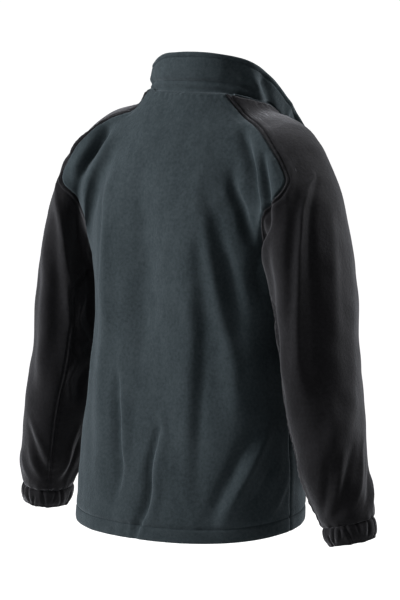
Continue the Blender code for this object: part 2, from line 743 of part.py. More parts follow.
def add_zip_half(name, side, front, collar, tape, teeth, collection):
    """One tape and its teeth up a front and the collar's end; gives the teeth's depth at the slider."""
    column, next_in = (-1, -2) if side == 1 else (0, 1)
    edge = np.concatenate([front.points[:, -1][::-1], collar.points[1:, column]])
    inner = np.concatenate([front.points[:, -2][::-1], collar.points[1:, next_in]])
    normals = np.concatenate([front.normals[:, -1][::-1], collar.normals[1:, column]])
    tangent = unit(np.gradient(edge, axis=0))
    outward = edge - inner
    outward = unit(outward - tangent * (outward * tangent).sum(-1, keepdims=True))
    for _ in range(ZIP_TWIST_ROUNDS):
        normals[1:-1] = (normals[:-2] + 2 * normals[1:-1] + normals[2:]) / 4
    normals = unit(normals - outward * (normals * outward).sum(-1, keepdims=True))
    teeth_near = ZIP_EDGE - SEAM_GAP / 2 - TEETH_WIDTH
    add_strip(f"zip_tape_{name}", edge, outward, normals, SEAM_GAP, teeth_near - 2 * SEAM_GAP,
              TAPE_FRONT, TAPE_FRONT + TAPE_WALL, tape, collection)
    add_strip(f"zip_teeth_{name}", edge, outward, normals, teeth_near, teeth_near + TEETH_WIDTH,
              TEETH_FRONT, TEETH_BACK, teeth, collection)
    slider_row = len(front.points) - 1 - SLIDER_ROW
    return float((edge + outward * ZIP_EDGE)[slider_row, 1])


def add_sleeve(name, cloth, material, collection):
    """A sleeve: its cap is open along the raglan seams, and its rows below the underarm are closed."""
    rows = cloth.points.shape[0]
    outer = inset_sleeve(cloth.points)
    inner = inset_sleeve(cloth.points - cloth.normals * FLEECE_WALL)
    return add_part(name, wall_mesh(name, outer, inner, closed_from=RAGLAN_ROWS), material, collection)


def inset_sleeve(points):
    """A sleeve's points with its raglan, neck and cuff edges set back from their seams."""
    points = points.copy()
    cap = inset(points[:RAGLAN_ROWS + 1], ("left", "right", "top"))
    point = points[RAGLAN_ROWS, 0]
    down = unit(points[RAGLAN_ROWS + 1, 0] - point)
    cap[RAGLAN_ROWS, 0] = cap[RAGLAN_ROWS, -1] = point + down * SEAM_GAP / 2
    points[:RAGLAN_ROWS + 1] = cap
    points[-1] = pull_in(points[-1], points[-2], SEAM_GAP / 2)
    points[RAGLAN_ROWS:, -1] = points[RAGLAN_ROWS:, 0]
    return points


def build_jacket():
    """Model every piece of the jacket."""
    for old in list(bpy.data.objects):
        bpy.data.objects.remove(old, do_unlink=True)
    parts = new_collection(COLLECTION)
    cutters = new_collection("cutters")
    slate = finish("slate_fleece", (0.028, 0.041, 0.050), 0.95)
    black = finish("black_fleece", (0.008, 0.008, 0.010), 0.95)
    tape = finish("zip_tape", (0.010, 0.010, 0.012), 0.85)
    teeth = finish("zip_teeth", (0.012, 0.012, 0.013), 0.45)
    metal = finish("black_metal", (0.020, 0.020, 0.022), 0.35, 0.9)

    seam = seams()
    back, front = body_points(seam)
    sleeve = sleeve_points(seam)
    add_wall("back", clothed(back), ("left", "right", "top"), FLEECE_WALL, slate, parts)
    fronts = {1: clothed(front), -1: clothed(mirrored(front))}
    sleeves = {1: clothed(sleeve), -1: clothed(mirrored(sleeve))}
    names = {1: "left", -1: "right"}
    for side, name in names.items():
        add_wall(f"front_{name}", fronts[side], ("left", "top"), FLEECE_WALL, slate, parts)
        add_sleeve(f"sleeve_{name}", sleeves[side], black, parts)
        add_cuff(f"cuff_{name}", side, black, parts)

    collar = collar_cloth(fronts, sleeves, clothed(back))
    add_wall("collar", collar, ("top",), COLLAR_WALL, slate, parts)
    for side, name in names.items():
        face_depth = add_zip_half(name, side, fronts[side], collar, tape, teeth, parts)
    add_slider(face_depth, metal, parts, cutters)
    add_pull(face_depth, metal, parts, cutters)


build_jacket()
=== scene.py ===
import math

import bmesh
import bpy
import numpy as np
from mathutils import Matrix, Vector


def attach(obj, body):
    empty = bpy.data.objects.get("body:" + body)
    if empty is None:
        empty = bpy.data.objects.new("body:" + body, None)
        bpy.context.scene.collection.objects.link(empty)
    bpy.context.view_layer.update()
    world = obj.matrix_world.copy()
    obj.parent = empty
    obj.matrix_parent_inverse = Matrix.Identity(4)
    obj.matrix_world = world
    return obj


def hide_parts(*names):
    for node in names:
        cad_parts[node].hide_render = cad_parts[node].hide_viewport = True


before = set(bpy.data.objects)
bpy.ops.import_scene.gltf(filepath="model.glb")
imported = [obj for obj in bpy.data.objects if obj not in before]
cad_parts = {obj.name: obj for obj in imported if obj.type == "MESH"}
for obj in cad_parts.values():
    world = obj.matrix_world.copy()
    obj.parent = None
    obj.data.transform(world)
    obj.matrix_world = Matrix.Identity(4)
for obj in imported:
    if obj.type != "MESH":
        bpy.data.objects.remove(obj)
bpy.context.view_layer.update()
mm = 0.001

# The jacket's form, in millimetres: wearer's left +X, back +Y, up +Z.
form = {
    "bodyRings": [  # height, half width, front, back
        (90, 99, -74, 72), (25, 97, -74, 68), (0, 100, -78, 69), (-25, 110, -88, 78), (-60, 132, -99, 94),
        (-110, 160, -112, 114), (-160, 179, -117, 130), (-220, 186, -118, 139), (-285, 179, -112, 142),
        (-345, 174, -104, 140), (-420, 178, -97, 146), (-520, 187, -92, 158), (-620, 192, -86, 170),
        (-720, 192, -74, 176),
    ],
    "squareness": 2.3,
    "sleeveRings": [  # along, x, y, z, half width, half depth
        (0, 72, 6, -60, 40, 50), (52, 121, 9, -74, 50, 61), (107, 163, 16, -104, 56, 70),
        (172, 195, 24, -160, 59, 78), (250, 218, 26, -234, 54, 80), (300, 230, 27, -283, 50, 79),
        (340, 236, 28, -323, 49, 78), (480, 251, 35, -461, 51, 72), (587, 277, 39, -565, 46, 58),
        (640, 292, 35, -616, 41, 48), (662, 297, 33, -638, 37, 43), (700, 304, 31, -675, 36, 42),
    ],
    "blendHeights": (-250, -130),  # sleeves flow into the body more softly from the underarm up
    "blendWidths": (7, 42),
    "slopeStep": 0.4,
    "longestMove": 18.0,
}

seamMarks = {  # points that each seam passes on the wearer's left; the right side mirrors them
    "backNeck": [(73, 50, 0), (40, 64, 0), (0, 69, 0), (-40, 64, 0), (-73, 50, 0)],
    "sideNeck": [(96, -42, -42), (99, -18, -25), (98, 12, -14), (88, 36, -5), (73, 50, 0)],
    "frontNeck": [(96, -42, -42), (86, -78, -85), (70, -108, -128)],
    "raglanBack": [
        (73, 50, 0), (102, 52, -21), (141, 57, -50), (182, 70, -86), (199, 73, -108), (208, 75, -127),
        (207, 78, -143), (192, 80, -163), (172, 72, -212), (174, 55, -258), (178, 20, -288),
    ],
    "raglanFront": [
        (96, -42, -42), (128, -58, -74), (158, -67, -110), (177, -69, -148), (178, -50, -192),
        (174, -22, -250), (178, 20, -288),
    ],
    "side": [(178, 20, -288), (174, 21, -345), (178, 27, -420), (187, 36, -540), (192, 44, -665)],
    "underarm": [  # along the sleeve, angle round it in degrees: 0 outside, 90 back, 180 inside
        (286, 180), (300, 156), (316, 143), (382, 141), (442, 137), (508, 131), (568, 134), (643, 138),
        (658, 139),
    ],
}

panels = {
    "raglanRows": 15,
    "sideRows": 13,
    "sleeveRows": 13,
    "backColumns": 18,
    "frontColumns": 8,
    "sleeveColumns": 18,
    "evenRounds": 2,
    "fineness": 7,  # steps of cloth between two rows or columns of the plan
    "edgeSteps": (0.03, 0.06, 0.09, 0.12, 0.17, 0.2, 0.23, 0.26, 0.32),  # extra steps beside a seam
    "hemSteps": (0.56, 0.6, 0.63, 0.66, 0.69, 0.73, 0.76, 0.8),  # and beside the hem's stitches
    "underarmSteps": (15.3, 16.35, 0.06),
    "curveMarks": 400,  # points along a smooth curve before it is spaced out evenly
    "lineMarks": 90,  # points along a crease
    "neckMarks": 60,
    "wall": 2.4,
    "wallEdge": 0.28,  # how far a wall's edge rounds out, as a share of its thickness
    "seamGap": 0.3,
    "hemMiddle": 42,
    "hemHeight": -657,
    "hemTilt": 0.12,
    "hemBackArc": (30, 145),
    "hemFrontBow": 60,
    "underarmAlong": 286,
    "cuffSeamAlong": 658,
}


def smoothCurve(start, rise, leave, arrive, part):  # between two values, by how it leaves and arrives
    return start + part * rise + part * (1 - part) * (leave * (1 - part) + arrive * part)


def readTable(rows, stations):  # later columns of a table at these stations, on a smooth curve
    table = np.array(rows, float)
    table = table[np.argsort(table[:, 0])]
    station = table[:, 0]
    values = table[:, 1:]
    slopes = np.gradient(values, station, axis=0)
    stations = np.clip(stations, station[0], station[-1])
    low = np.clip(np.searchsorted(station, stations) - 1, 0, len(station) - 2)
    step = (station[low + 1] - station[low])[..., None]
    part = (stations - station[low])[..., None] / step
    rise = values[low + 1] - values[low]
    leave = slopes[low] * step - rise
    arrive = rise - slopes[low + 1] * step
    return np.moveaxis(smoothCurve(values[low], rise, leave, arrive, part), -1, 0)


def unitRows(vectors):
    return vectors / np.maximum(np.linalg.norm(vectors, axis=-1, keepdims=True), 1e-9)


def tangents(line):
    return unitRows(np.gradient(line, axis=0))


def squareTo(vectors, axis):  # the vectors turned square to these unit directions
    return unitRows(vectors - axis * (vectors * axis).sum(-1, keepdims=True))


def smoothStep(low, high, value):
    share = np.clip((value - low) / (high - low), 0, 1)
    return share * share * (3 - 2 * share)


def plateau(start, full, falling, over, value):  # rises to 1, stays there and falls again
    return smoothStep(start, full, value) * (1 - smoothStep(falling, over, value))


sideNames = {1: "Left", -1: "Right"}


def onSide(points, side):
    return points * np.array([side, 1.0, 1.0])


def stepLengths(line):
    return np.linalg.norm(np.diff(line, axis=0), axis=1)


def lengthsAlong(line):  # how far along the line each of its points is
    return np.concatenate([[0], np.cumsum(stepLengths(line))])


def atStations(line, along, stations):  # the line's values at these lengths along it
    return np.stack([np.interp(stations, along, line[:, axis]) for axis in range(line.shape[1])], axis=1)


def bodyReach(points):  # how far outside the body's rings
    halfWidth, front, back = readTable(form["bodyRings"], points[:, 2])
    fromMiddle = points[:, 1] - (front + back) / 2
    across = np.abs(points[:, 0]) / halfWidth
    deep = np.abs(fromMiddle) / ((back - front) / 2)
    power = form["squareness"]
    level = (across**power + deep**power) ** (1 / power)
    return np.hypot(points[:, 0], fromMiddle) * (1 - 1 / np.maximum(level, 1e-6))


sleeveEnd = form["sleeveRings"][-1][0]


def sleeveFrame(along):  # middle, direction, side axis, depth axis, half width, half depth
    inside = np.clip(along, 0, sleeveEnd)
    columns = readTable(form["sleeveRings"], inside)
    ahead = readTable(form["sleeveRings"], inside + 1.0)[:3]
    behind = readTable(form["sleeveRings"], inside - 1.0)[:3]
    direction = unitRows(np.moveaxis(ahead - behind, 0, -1))
    depthAxis = np.zeros_like(direction)
    depthAxis[..., 1] = 1.0
    depthAxis = unitRows(depthAxis - direction * direction[..., 1:2])
    sideAxis = np.cross(direction, depthAxis)
    middle = np.moveaxis(columns[:3], 0, -1) + direction * (along - inside)[..., None]
    return middle, direction, sideAxis, depthAxis, columns[3], columns[4]


lineAlong = np.arange(0.0, sleeveEnd + 1, 5)
linePoints, lineDirections = sleeveFrame(lineAlong)[:2]


def nearestRow(points, line):  # which of the line's points is nearest, and how far it is
    found = np.empty(len(points), int)
    gap = np.empty(len(points))
    batch = 8000
    for start in range(0, len(points), batch):
        some = points[start:start + batch]
        square = (some**2).sum(1)[:, None] - 2 * some @ line.T + (line**2).sum(1)
        nearest = square.argmin(1)
        found[start:start + batch] = nearest
        gap[start:start + batch] = np.sqrt(np.maximum(square[np.arange(len(some)), nearest], 0))
    return found, gap


def alongSleeve(points):
    nearest = nearestRow(points, linePoints)[0]
    return lineAlong[nearest] + ((points - linePoints[nearest]) * lineDirections[nearest]).sum(1)


def sleeveReach(points):  # how far outside the nearer sleeve's rings
    folded = np.column_stack([np.abs(points[:, 0]), points[:, 1:]])
    along = np.clip(alongSleeve(folded), 0, sleeveEnd)
    middle, direction, sideAxis, depthAxis, halfWidth, halfDepth = sleeveFrame(along)
    offset = folded - middle
    across = (offset * sideAxis).sum(1)
    deep = (offset * depthAxis).sum(1)
    before = np.where(along <= 0, (offset * direction).sum(1), 0.0)
    level = np.sqrt((across / halfWidth) ** 2 + (deep / halfDepth) ** 2 + (before / halfWidth) ** 2)
    return np.sqrt(across**2 + deep**2 + before**2) * (1 - 1 / np.maximum(level, 1e-6))


def formReach(points):
    body = bodyReach(points)
    sleeve = sleeveReach(points)
    width = np.interp(points[:, 2], form["blendHeights"], form["blendWidths"])
    share = np.clip(0.5 + 0.5 * (sleeve - body) / width, 0, 1)
    return sleeve * (1 - share) + body * share - width * share * (1 - share)


def formSlope(points):
    step = form["slopeStep"]
    slope = np.empty_like(points)
    for axis in range(3):
        shift = np.eye(3)[axis] * step
        slope[:, axis] = (formReach(points + shift) - formReach(points - shift)) / (2 * step)
    return slope


def settle(points, onlyAxis=None, rounds=8):  # bring points onto the form
    shape = np.shape(points)
    points = np.array(points, float).reshape(-1, 3)
    for _ in range(rounds):
        reach = formReach(points)
        move = formSlope(points)
        if onlyAxis is not None:
            move = move * np.eye(3)[onlyAxis]
        move = -move * (reach / np.maximum((move**2).sum(1), 0.05))[:, None]
        length = np.linalg.norm(move, axis=1, keepdims=True)
        points = points + move * np.minimum(1, form["longestMove"] / np.maximum(length, 1e-9))
    return points.reshape(shape)


def formNormals(points):
    return unitRows(formSlope(points.reshape(-1, 3))).reshape(points.shape)


def spaced(line, count):  # the line in this many equal steps
    along = lengthsAlong(line)
    return atStations(line, along, np.linspace(0, along[-1], count + 1))


def curveThrough(marks, count):
    marks = np.array(marks, float)
    chord = lengthsAlong(marks)
    fine = readTable(np.column_stack([chord, marks]), np.linspace(0, chord[-1], panels["curveMarks"]))
    return spaced(np.moveaxis(fine, 0, -1), count)


def seamCurve(marks, count):
    return settle(curveThrough(settle(np.array(marks, float)), count))


def joined(first, second):
    return np.concatenate([first, second[1:]])


def patch(top, bottom, left, right):  # points between four edges that meet at their corners
    across = np.linspace(0, 1, len(top))[None, :, None]
    down = np.concatenate([[0], np.cumsum(stepLengths(left) + stepLengths(right))])
    down = (down / down[-1])[:, None, None]
    ends = (1 - down) * top[None] + down * bottom[None]
    sides = (1 - across) * left[:, None] + across * right[:, None]
    upper = (1 - across) * top[0] + across * top[-1]
    lower = (1 - across) * bottom[0] + across * bottom[-1]
    return ends + sides - (1 - down) * upper - down * lower


def withEnds(line, first, last):
    line[0] = first
    line[-1] = last
    return line


def settledPatch(top, bottom, left, right):  # a patch on the form, between edges that stay
    grid = settle(patch(top, bottom, left, right))
    grid[:, 0] = left
    grid[:, -1] = right
    return withEnds(grid, top, bottom)


def evenOut(grid):
    for _ in range(panels["evenRounds"]):
        around = grid[:-2, 1:-1] + grid[2:, 1:-1] + grid[1:-1, :-2] + grid[1:-1, 2:]
        grid[1:-1, 1:-1] = settle(around / 4)
    return grid


def hemHeight(depth):
    return panels["hemHeight"] - panels["hemTilt"] * (depth - panels["hemMiddle"])


def dropToHem(points):
    points = np.array(points, float)
    for _ in range(4):
        points[:, 2] = hemHeight(points[:, 1])
        points = settle(points, rounds=3)
    points[:, 2] = hemHeight(points[:, 1])
    return points


def planSeams():
    underarm = settle(np.array([seamMarks["side"][0]], float))[0]
    count = panels["raglanRows"]
    back = seamCurve(seamMarks["raglanBack"][:-1] + [tuple(underarm)], count)
    front = seamCurve(seamMarks["raglanFront"][:-1] + [tuple(underarm)], count)
    sideMarks = np.array([tuple(underarm)] + seamMarks["side"][1:], float)
    sideMarks[-1, 2] = hemHeight(sideMarks[-1, 1])
    side = seamCurve(sideMarks, panels["sideRows"])
    front[-1] = side[0] = back[-1] = underarm
    return {"raglanBack": back, "raglanFront": front, "side": side}


zipLook = {
    "edge": 9.65,  # each front's edge stands this far off the middle line
    "sliderHeight": -226,
    "sliderRow": 9,
    "underarmEdgeHeight": -300,
    "pathSmoothing": 12,
    "teethWidth": 2.7,
    "teethFront": 0.2,
    "teethBack": 2.8,
    "tapeInside": -4.0,
    "tapePast": 0.6,
    "tapeFront": 2.2,
    "tapeWall": 0.7,
    "tapeColumns": 7,
    "toothPitch": 3.0,
    "toothWidth": 0.30,  # half a tooth, as a share of the pitch
    "toothHeight": 2.3,
    "toothOffset": 0.25,  # the two rows stand this share of a pitch above and below each other
    "toothSides": 8,
    "toothCorner": 1.25,
    "toothSections": [  # across, then shares of the half width and half height: foot, neck, round head
        (-1.6, 1.0, 0.75), (-1.2, 1.0, 1.0), (0.9, 1.0, 1.0), (1.5, 0.7, 0.9), (2.0, 0.95, 0.9),
        (2.4, 0.95, 0.8), (2.7, 0.6, 0.5),
    ],
}


def zipEdge(neckMark):
    above = np.linspace(neckMark[2], zipLook["sliderHeight"], zipLook["sliderRow"] + 1)
    rows = panels["raglanRows"] - zipLook["sliderRow"] + 1
    middle = np.linspace(zipLook["sliderHeight"], zipLook["underarmEdgeHeight"], rows)
    bottom = hemHeight(form["bodyRings"][-1][2])
    below = np.linspace(zipLook["underarmEdgeHeight"], bottom, panels["sideRows"] + 1)
    heights = np.concatenate([above, middle[1:], below[1:]])
    opening = (heights - zipLook["sliderHeight"]) / (neckMark[2] - zipLook["sliderHeight"])
    out = zipLook["edge"] + (neckMark[0] - zipLook["edge"]) * np.maximum(opening, 0)
    edge = np.column_stack([out, np.full(len(heights), neckMark[1]), heights])
    return settle(edge, onlyAxis=1)


def planBody(seam):  # the back's and the left front's points on the form
    backSide = joined(seam["raglanBack"], seam["side"])
    frontSide = joined(seam["raglanFront"], seam["side"])
    backTop = seamCurve(seamMarks["backNeck"], panels["backColumns"])
    backTop = withEnds(backTop, backSide[0], onSide(backSide[0], -1))
    hemSide = backSide[-1]
    angle = np.linspace(0, math.pi, panels["backColumns"] + 1)
    depth = panels["hemBackArc"][0] + panels["hemBackArc"][1] * np.sin(angle)
    hem = dropToHem(np.column_stack([hemSide[0] * np.cos(angle), depth, 0 * angle]))
    hem = withEnds(hem, hemSide, onSide(hemSide, -1))
    back = settledPatch(backTop, hem, backSide, onSide(backSide, -1))

    frontTop = seamCurve(seamMarks["frontNeck"], panels["frontColumns"])
    frontTop[0] = frontSide[0]
    edge = zipEdge(frontTop[-1])
    frontTop[-1] = edge[0]
    share = np.linspace(0, 1, panels["frontColumns"] + 1)
    low = np.outer(1 - share, hemSide) + np.outer(share, edge[-1])
    low[:, 1] -= panels["hemFrontBow"] * np.sin(math.pi * share)
    low = withEnds(dropToHem(low), hemSide, edge[-1])
    front = settledPatch(frontTop, low, frontSide, edge)
    return evenOut(back), evenOut(front)


def sleeveRing(along, angles):
    middle, _, sideAxis, depthAxis, halfWidth, halfDepth = sleeveFrame(along)
    sideways = (np.cos(angles) * halfWidth)[..., None] * sideAxis
    deep = (np.sin(angles) * halfDepth)[..., None] * depthAxis
    return middle + sideways + deep


def sleevePlace(points, turn=0):  # along the sleeve and angle round it
    along = alongSleeve(points)
    middle, _, sideAxis, depthAxis, halfWidth, halfDepth = sleeveFrame(along)
    across = ((points - middle) * sideAxis).sum(1) / halfWidth
    deep = ((points - middle) * depthAxis).sum(1) / halfDepth
    angle = np.arctan2(deep, across)
    if turn:
        angle = turn * np.abs(np.mod(turn * angle, 2 * math.pi))
    return np.column_stack([along, angle])


def planSleeve(seam):  # the left sleeve's points: the cap between the raglan seams, then closed rings
    columns = panels["sleeveColumns"]
    top = seamCurve(seamMarks["sideNeck"], columns)
    top = withEnds(top, seam["raglanFront"][0], seam["raglanBack"][0])
    frontPlaces = sleevePlace(seam["raglanFront"], -1)
    backPlaces = sleevePlace(seam["raglanBack"], 1)
    frontPlaces[-1, 1] = -math.pi
    backPlaces[-1, 1] = math.pi
    ringPlaces = np.linspace(frontPlaces[-1], backPlaces[-1], columns + 1)
    topPlaces = withEnds(sleevePlace(top), frontPlaces[0], backPlaces[0])
    places = patch(topPlaces, ringPlaces, frontPlaces, backPlaces)
    cap = settle(sleeveRing(places[..., 0], places[..., 1]))
    cap[:, 0] = seam["raglanFront"]
    cap[:, -1] = seam["raglanBack"]
    cap[0] = top
    stations = np.linspace(panels["underarmAlong"], panels["cuffSeamAlong"], panels["sleeveRows"] + 1)[1:]
    angles = np.linspace(-math.pi, math.pi, columns + 1)
    tube = sleeveRing(*np.meshgrid(stations, angles, indexing="ij"))
    return np.concatenate([cap, settle(tube)])


creaseLook = {
    "backDepth": 130.0,  # where marks on the back and the front start before they settle on the form
    "frontDepth": -110.0,
    "reach": 3,  # in half widths
    "foldWidth": 0.8,  # the half width of the largest folds is cut to this share
    "leanShare": 0.55,
    "leanTurn": 3,
    "taperEnds": (0.96, 0.02),  # how much of a half wave a crease's height follows, and from where
    "taperPower": 0.6,
    "sharpShare": 0.7,
    "steepness": 1.1,
}
# The largest folds: start, middle, end, half width, height.
mainFolds = [
    ((114, 100, -130), (106, 118, -250), (114, 118, -400), 30, 5),
    ((34, 118, -100), (22, 138, -240), (20, 148, -430), 44, -6),
    ((-46, 120, -120), (-56, 136, -260), (-66, 148, -440), 36, 3),
    ((-98, 112, -150), (-110, 122, -300), (-112, 142, -520), 28, -2),
    ((-146, 98, -230), (-152, 102, -350), (-150, 112, -470), 24, 4),
    ((-180, 70, -495), (-162, 116, -575), (-136, 144, -645), 16, 6),
    ((-164, 92, -485), (-146, 130, -570), (-122, 152, -645), 20, -5),
    ((84, 134, -420), (78, 146, -520), (84, 152, -620), 26, 4),
    ((-214, 92, -190), (-232, 98, -300), (-244, 98, -420), 24, 7),
    ((-320, 10, -430), (-300, 70, -500), (-250, 80, -560), 26, 6),
    ((240, 90, -200), (262, 88, -300), (262, 84, -420), 24, 5),
    ((300, 60, -400), (280, 84, -480), (250, 70, -540), 24, 5),
    ((206, -70, -230), (232, -70, -330), (250, -50, -430), 24, 6),
    ((-206, -70, -240), (-236, -68, -330), (-252, -48, -420), 24, 6),
    ((140, -70, -300), (120, -85, -420), (128, -75, -560), 34, -6),
    ((-140, -70, -290), (-118, -85, -430), (-124, -75, -570), 34, -6),
]

# Creases laid one by one: marks, half width at the start and the end, height, lean, sharpness.
# A crease that leans by 1 is wider towards the wearer's left, if its marks run down.
backCreases = [  # marks are across, height on the back
    ([(140, -56), (151, -73), (160, -88), (170, -108), (177, -134)], 10, 11, -20.0, -0.4, 0.1),
    ([(126, -78), (140, -104), (153, -130), (161, -160), (165, -190), (168, -220), (170, -256), (170, -284)],
     12, 13, 12.0, 0.0, 0.0),
    ([(118, -150), (111, -210), (112, -300)], 7, 8, -3.4, 0.2, 0.2),
    ([(104, -120), (97, -220), (97, -320), (104, -420), (98, -520), (94, -600)], 17, 20, 6.0, 0.2, 0.0),
    ([(42, -110), (28, -200), (18, -320), (12, -430), (18, -520)], 38, 42, -8.0, -0.5, 0.0),
    ([(60, -140), (56, -240), (52, -330)], 10, 12, -1.6, 0.0, 0.0),
    ([(-70, -120), (-75, -250), (-78, -360), (-78, -450), (-80, -560)], 16, 18, 5.0, 0.2, 0.0),
    ([(-90, -290), (-92, -360), (-94, -440), (-97, -520), (-103, -615)], 10, 12, -4.6, 0.0, 0.0),
    ([(-150, -180), (-156, -300), (-158, -420), (-156, -520), (-150, -640)], 30, 32, 9.0, 0.0, 0.0),
    ([(-84, -160), (-99, -215), (-111, -275), (-121, -335), (-134, -400), (-142, -470)],
     13, 16, 11.0, 0.2, 0.0),
    ([(-106, -172), (-122, -226), (-133, -282), (-142, -340)], 10, 12, -6.4, 0.2, 0.0),
    ([(-122, -52), (-136, -76), (-146, -96), (-160, -128), (-174, -168)], 9, 12, -14.0, 0.1, 0.0),
    ([(-146, -80), (-160, -98), (-177, -140), (-187, -168)], 6, 7, 4.0, 0.0, 0.0),
    ([(-116, -112), (-128, -143), (-142, -168), (-150, -197), (-158, -224)], 8, 10, -10.0, 0.1, 0.0),
    ([(-132, -128), (-146, -160), (-160, -200)], 6, 7, 2.2, 0.0, 0.0),
    ([(-183, -88), (-198, -110), (-205, -124)], 6, 6, 2.6, 0.0, 0.0),
    ([(-104, -150), (-112, -190), (-128, -240)], 7, 9, 1.8, 0.2, 0.0),
    ([(66, -425), (56, -483), (50, -534), (41, -565), (42, -590), (48, -612)], 7, 9, -8.0, 0.5, 0.1),
    ([(52, -440), (40, -500), (30, -560)], 10, 12, 2.2, 0.0, 0.0),
    ([(-28, -500), (-21, -528), (-16, -562), (-18, -596), (-12, -632), (0, -658), (6, -680)],
     6, 9, -12.0, 0.6, 0.2),
    ([(-36, -520), (-32, -570), (-34, -610), (-26, -650)], 9, 9, 3.6, 0.0, 0.0),
    ([(-25, -470), (-36, -500), (-44, -526)], 3, 4, 1.4, 0.0, 0.6),
    ([(16, -640), (20, -660), (22, -680)], 4, 4, -2.4, 0.3, 0.6),
    ([(-172, -480), (-158, -526), (-142, -580), (-126, -622)], 8, 10, -3.4, 0.2, 0.1),
    ([(-178, -500), (-170, -546), (-156, -594), (-138, -634)], 6, 8, 3.6, 0.0, 0.4),
    ([(-185, -545), (-178, -588), (-166, -620)], 6, 7, -3.6, -0.3, 0.3),
    ([(-191, -575), (-190, -608), (-184, -636)], 6, 7, 3.4, 0.5, 0.4),
    ([(150, -330), (146, -420), (150, -520)], 12, 14, 2.2, 0.0, 0.0),
    ([(-62, -644), (-100, -648), (-132, -652)], 3, 3, -0.8, 0.0, 0.3),
]
gapCreases = [  # marks in space, where the sleeves press on the body
    ([(176, 94, -126), (180, 97, -148), (182, 95, -172), (183, 90, -205), (182, 77, -247), (184, 60, -284),
      (184, 52, -318)], 10, 13, -18.0, 0.0, 0.1),
    ([(120, 60, -32), (150, 64, -54), (190, 72, -84), (208, 70, -106), (216, 66, -125), (218, 64, -140)],
     9, 10, 5.0, 0.0, 0.0),
    ([(-170, 80, -84), (-180, 90, -108), (-188, 96, -130), (-196, 102, -160), (-196, 102, -182),
      (-174, 91, -220), (-164, 84, -262), (-166, 78, -300)], 5, 14, -14.0, 0.2, 0.2),
    ([(-207, 101, -138), (-199, 99, -174), (-192, 94, -210), (-187, 87, -245), (-187, 80, -285),
      (-190, 74, -330), (-194, 70, -380), (-198, 68, -430)], 11, 13, 8.0, 0.0, 0.0),
    ([(176, -66, -172), (178, -60, -200), (176, -44, -236), (176, -20, -272)], 7, 10, -9.0, 0.0, 0.2),
    ([(-176, -66, -172), (-178, -60, -200), (-176, -44, -236), (-176, -20, -272)], 7, 10, -9.0, 0.0, 0.2),
]
frontCreases = [  # marks are across, height on the front
    ([(160, -96), (150, -130), (132, -168), (106, -206)], 5, 8, -6.0, 0.0, 0.5),
    ([(166, -150), (150, -196), (128, -236)], 7, 9, 3.0, 0.0, 0.0),
    ([(170, -196), (152, -236), (134, -290)], 5, 8, -4.2, 0.0, 0.4),
    ([(-158, -92), (-146, -130), (-128, -172), (-98, -214)], 5, 8, -6.0, 0.0, 0.5),
    ([(-166, -146), (-152, -192), (-124, -246)], 7, 9, 3.0, 0.0, 0.0),
    ([(-170, -200), (-150, -244), (-136, -300)], 5, 8, -4.0, 0.0, 0.4),
    ([(92, -280), (80, -400), (96, -520)], 14, 18, 3.4, 0.2, 0.0),
    ([(-84, -260), (-92, -390), (-78, -500)], 14, 18, 3.2, 0.2, 0.0),
    ([(58, -430), (46, -520), (60, -650)], 6, 10, -4.0, 0.3, 0.4),
    ([(-52, -470), (-62, -560), (-46, -660)], 6, 10, -4.0, 0.3, 0.4),
    ([(30, -250), (36, -330), (28, -410)], 8, 9, 1.6, 0.0, 0.0),
    ([(-30, -270), (-36, -350), (-30, -420)], 8, 9, 1.6, 0.0, 0.0),
    ([(160, -470), (142, -560), (150, -650)], 9, 12, 3.4, 0.3, 0.1),
    ([(-160, -460), (-144, -550), (-148, -650)], 9, 12, 3.4, 0.3, 0.1),
    ([(126, -420), (112, -520), (122, -640)], 8, 10, -2.6, 0.0, 0.2),
    ([(-124, -430), (-116, -530), (-112, -640)], 8, 10, -2.6, 0.0, 0.2),
]
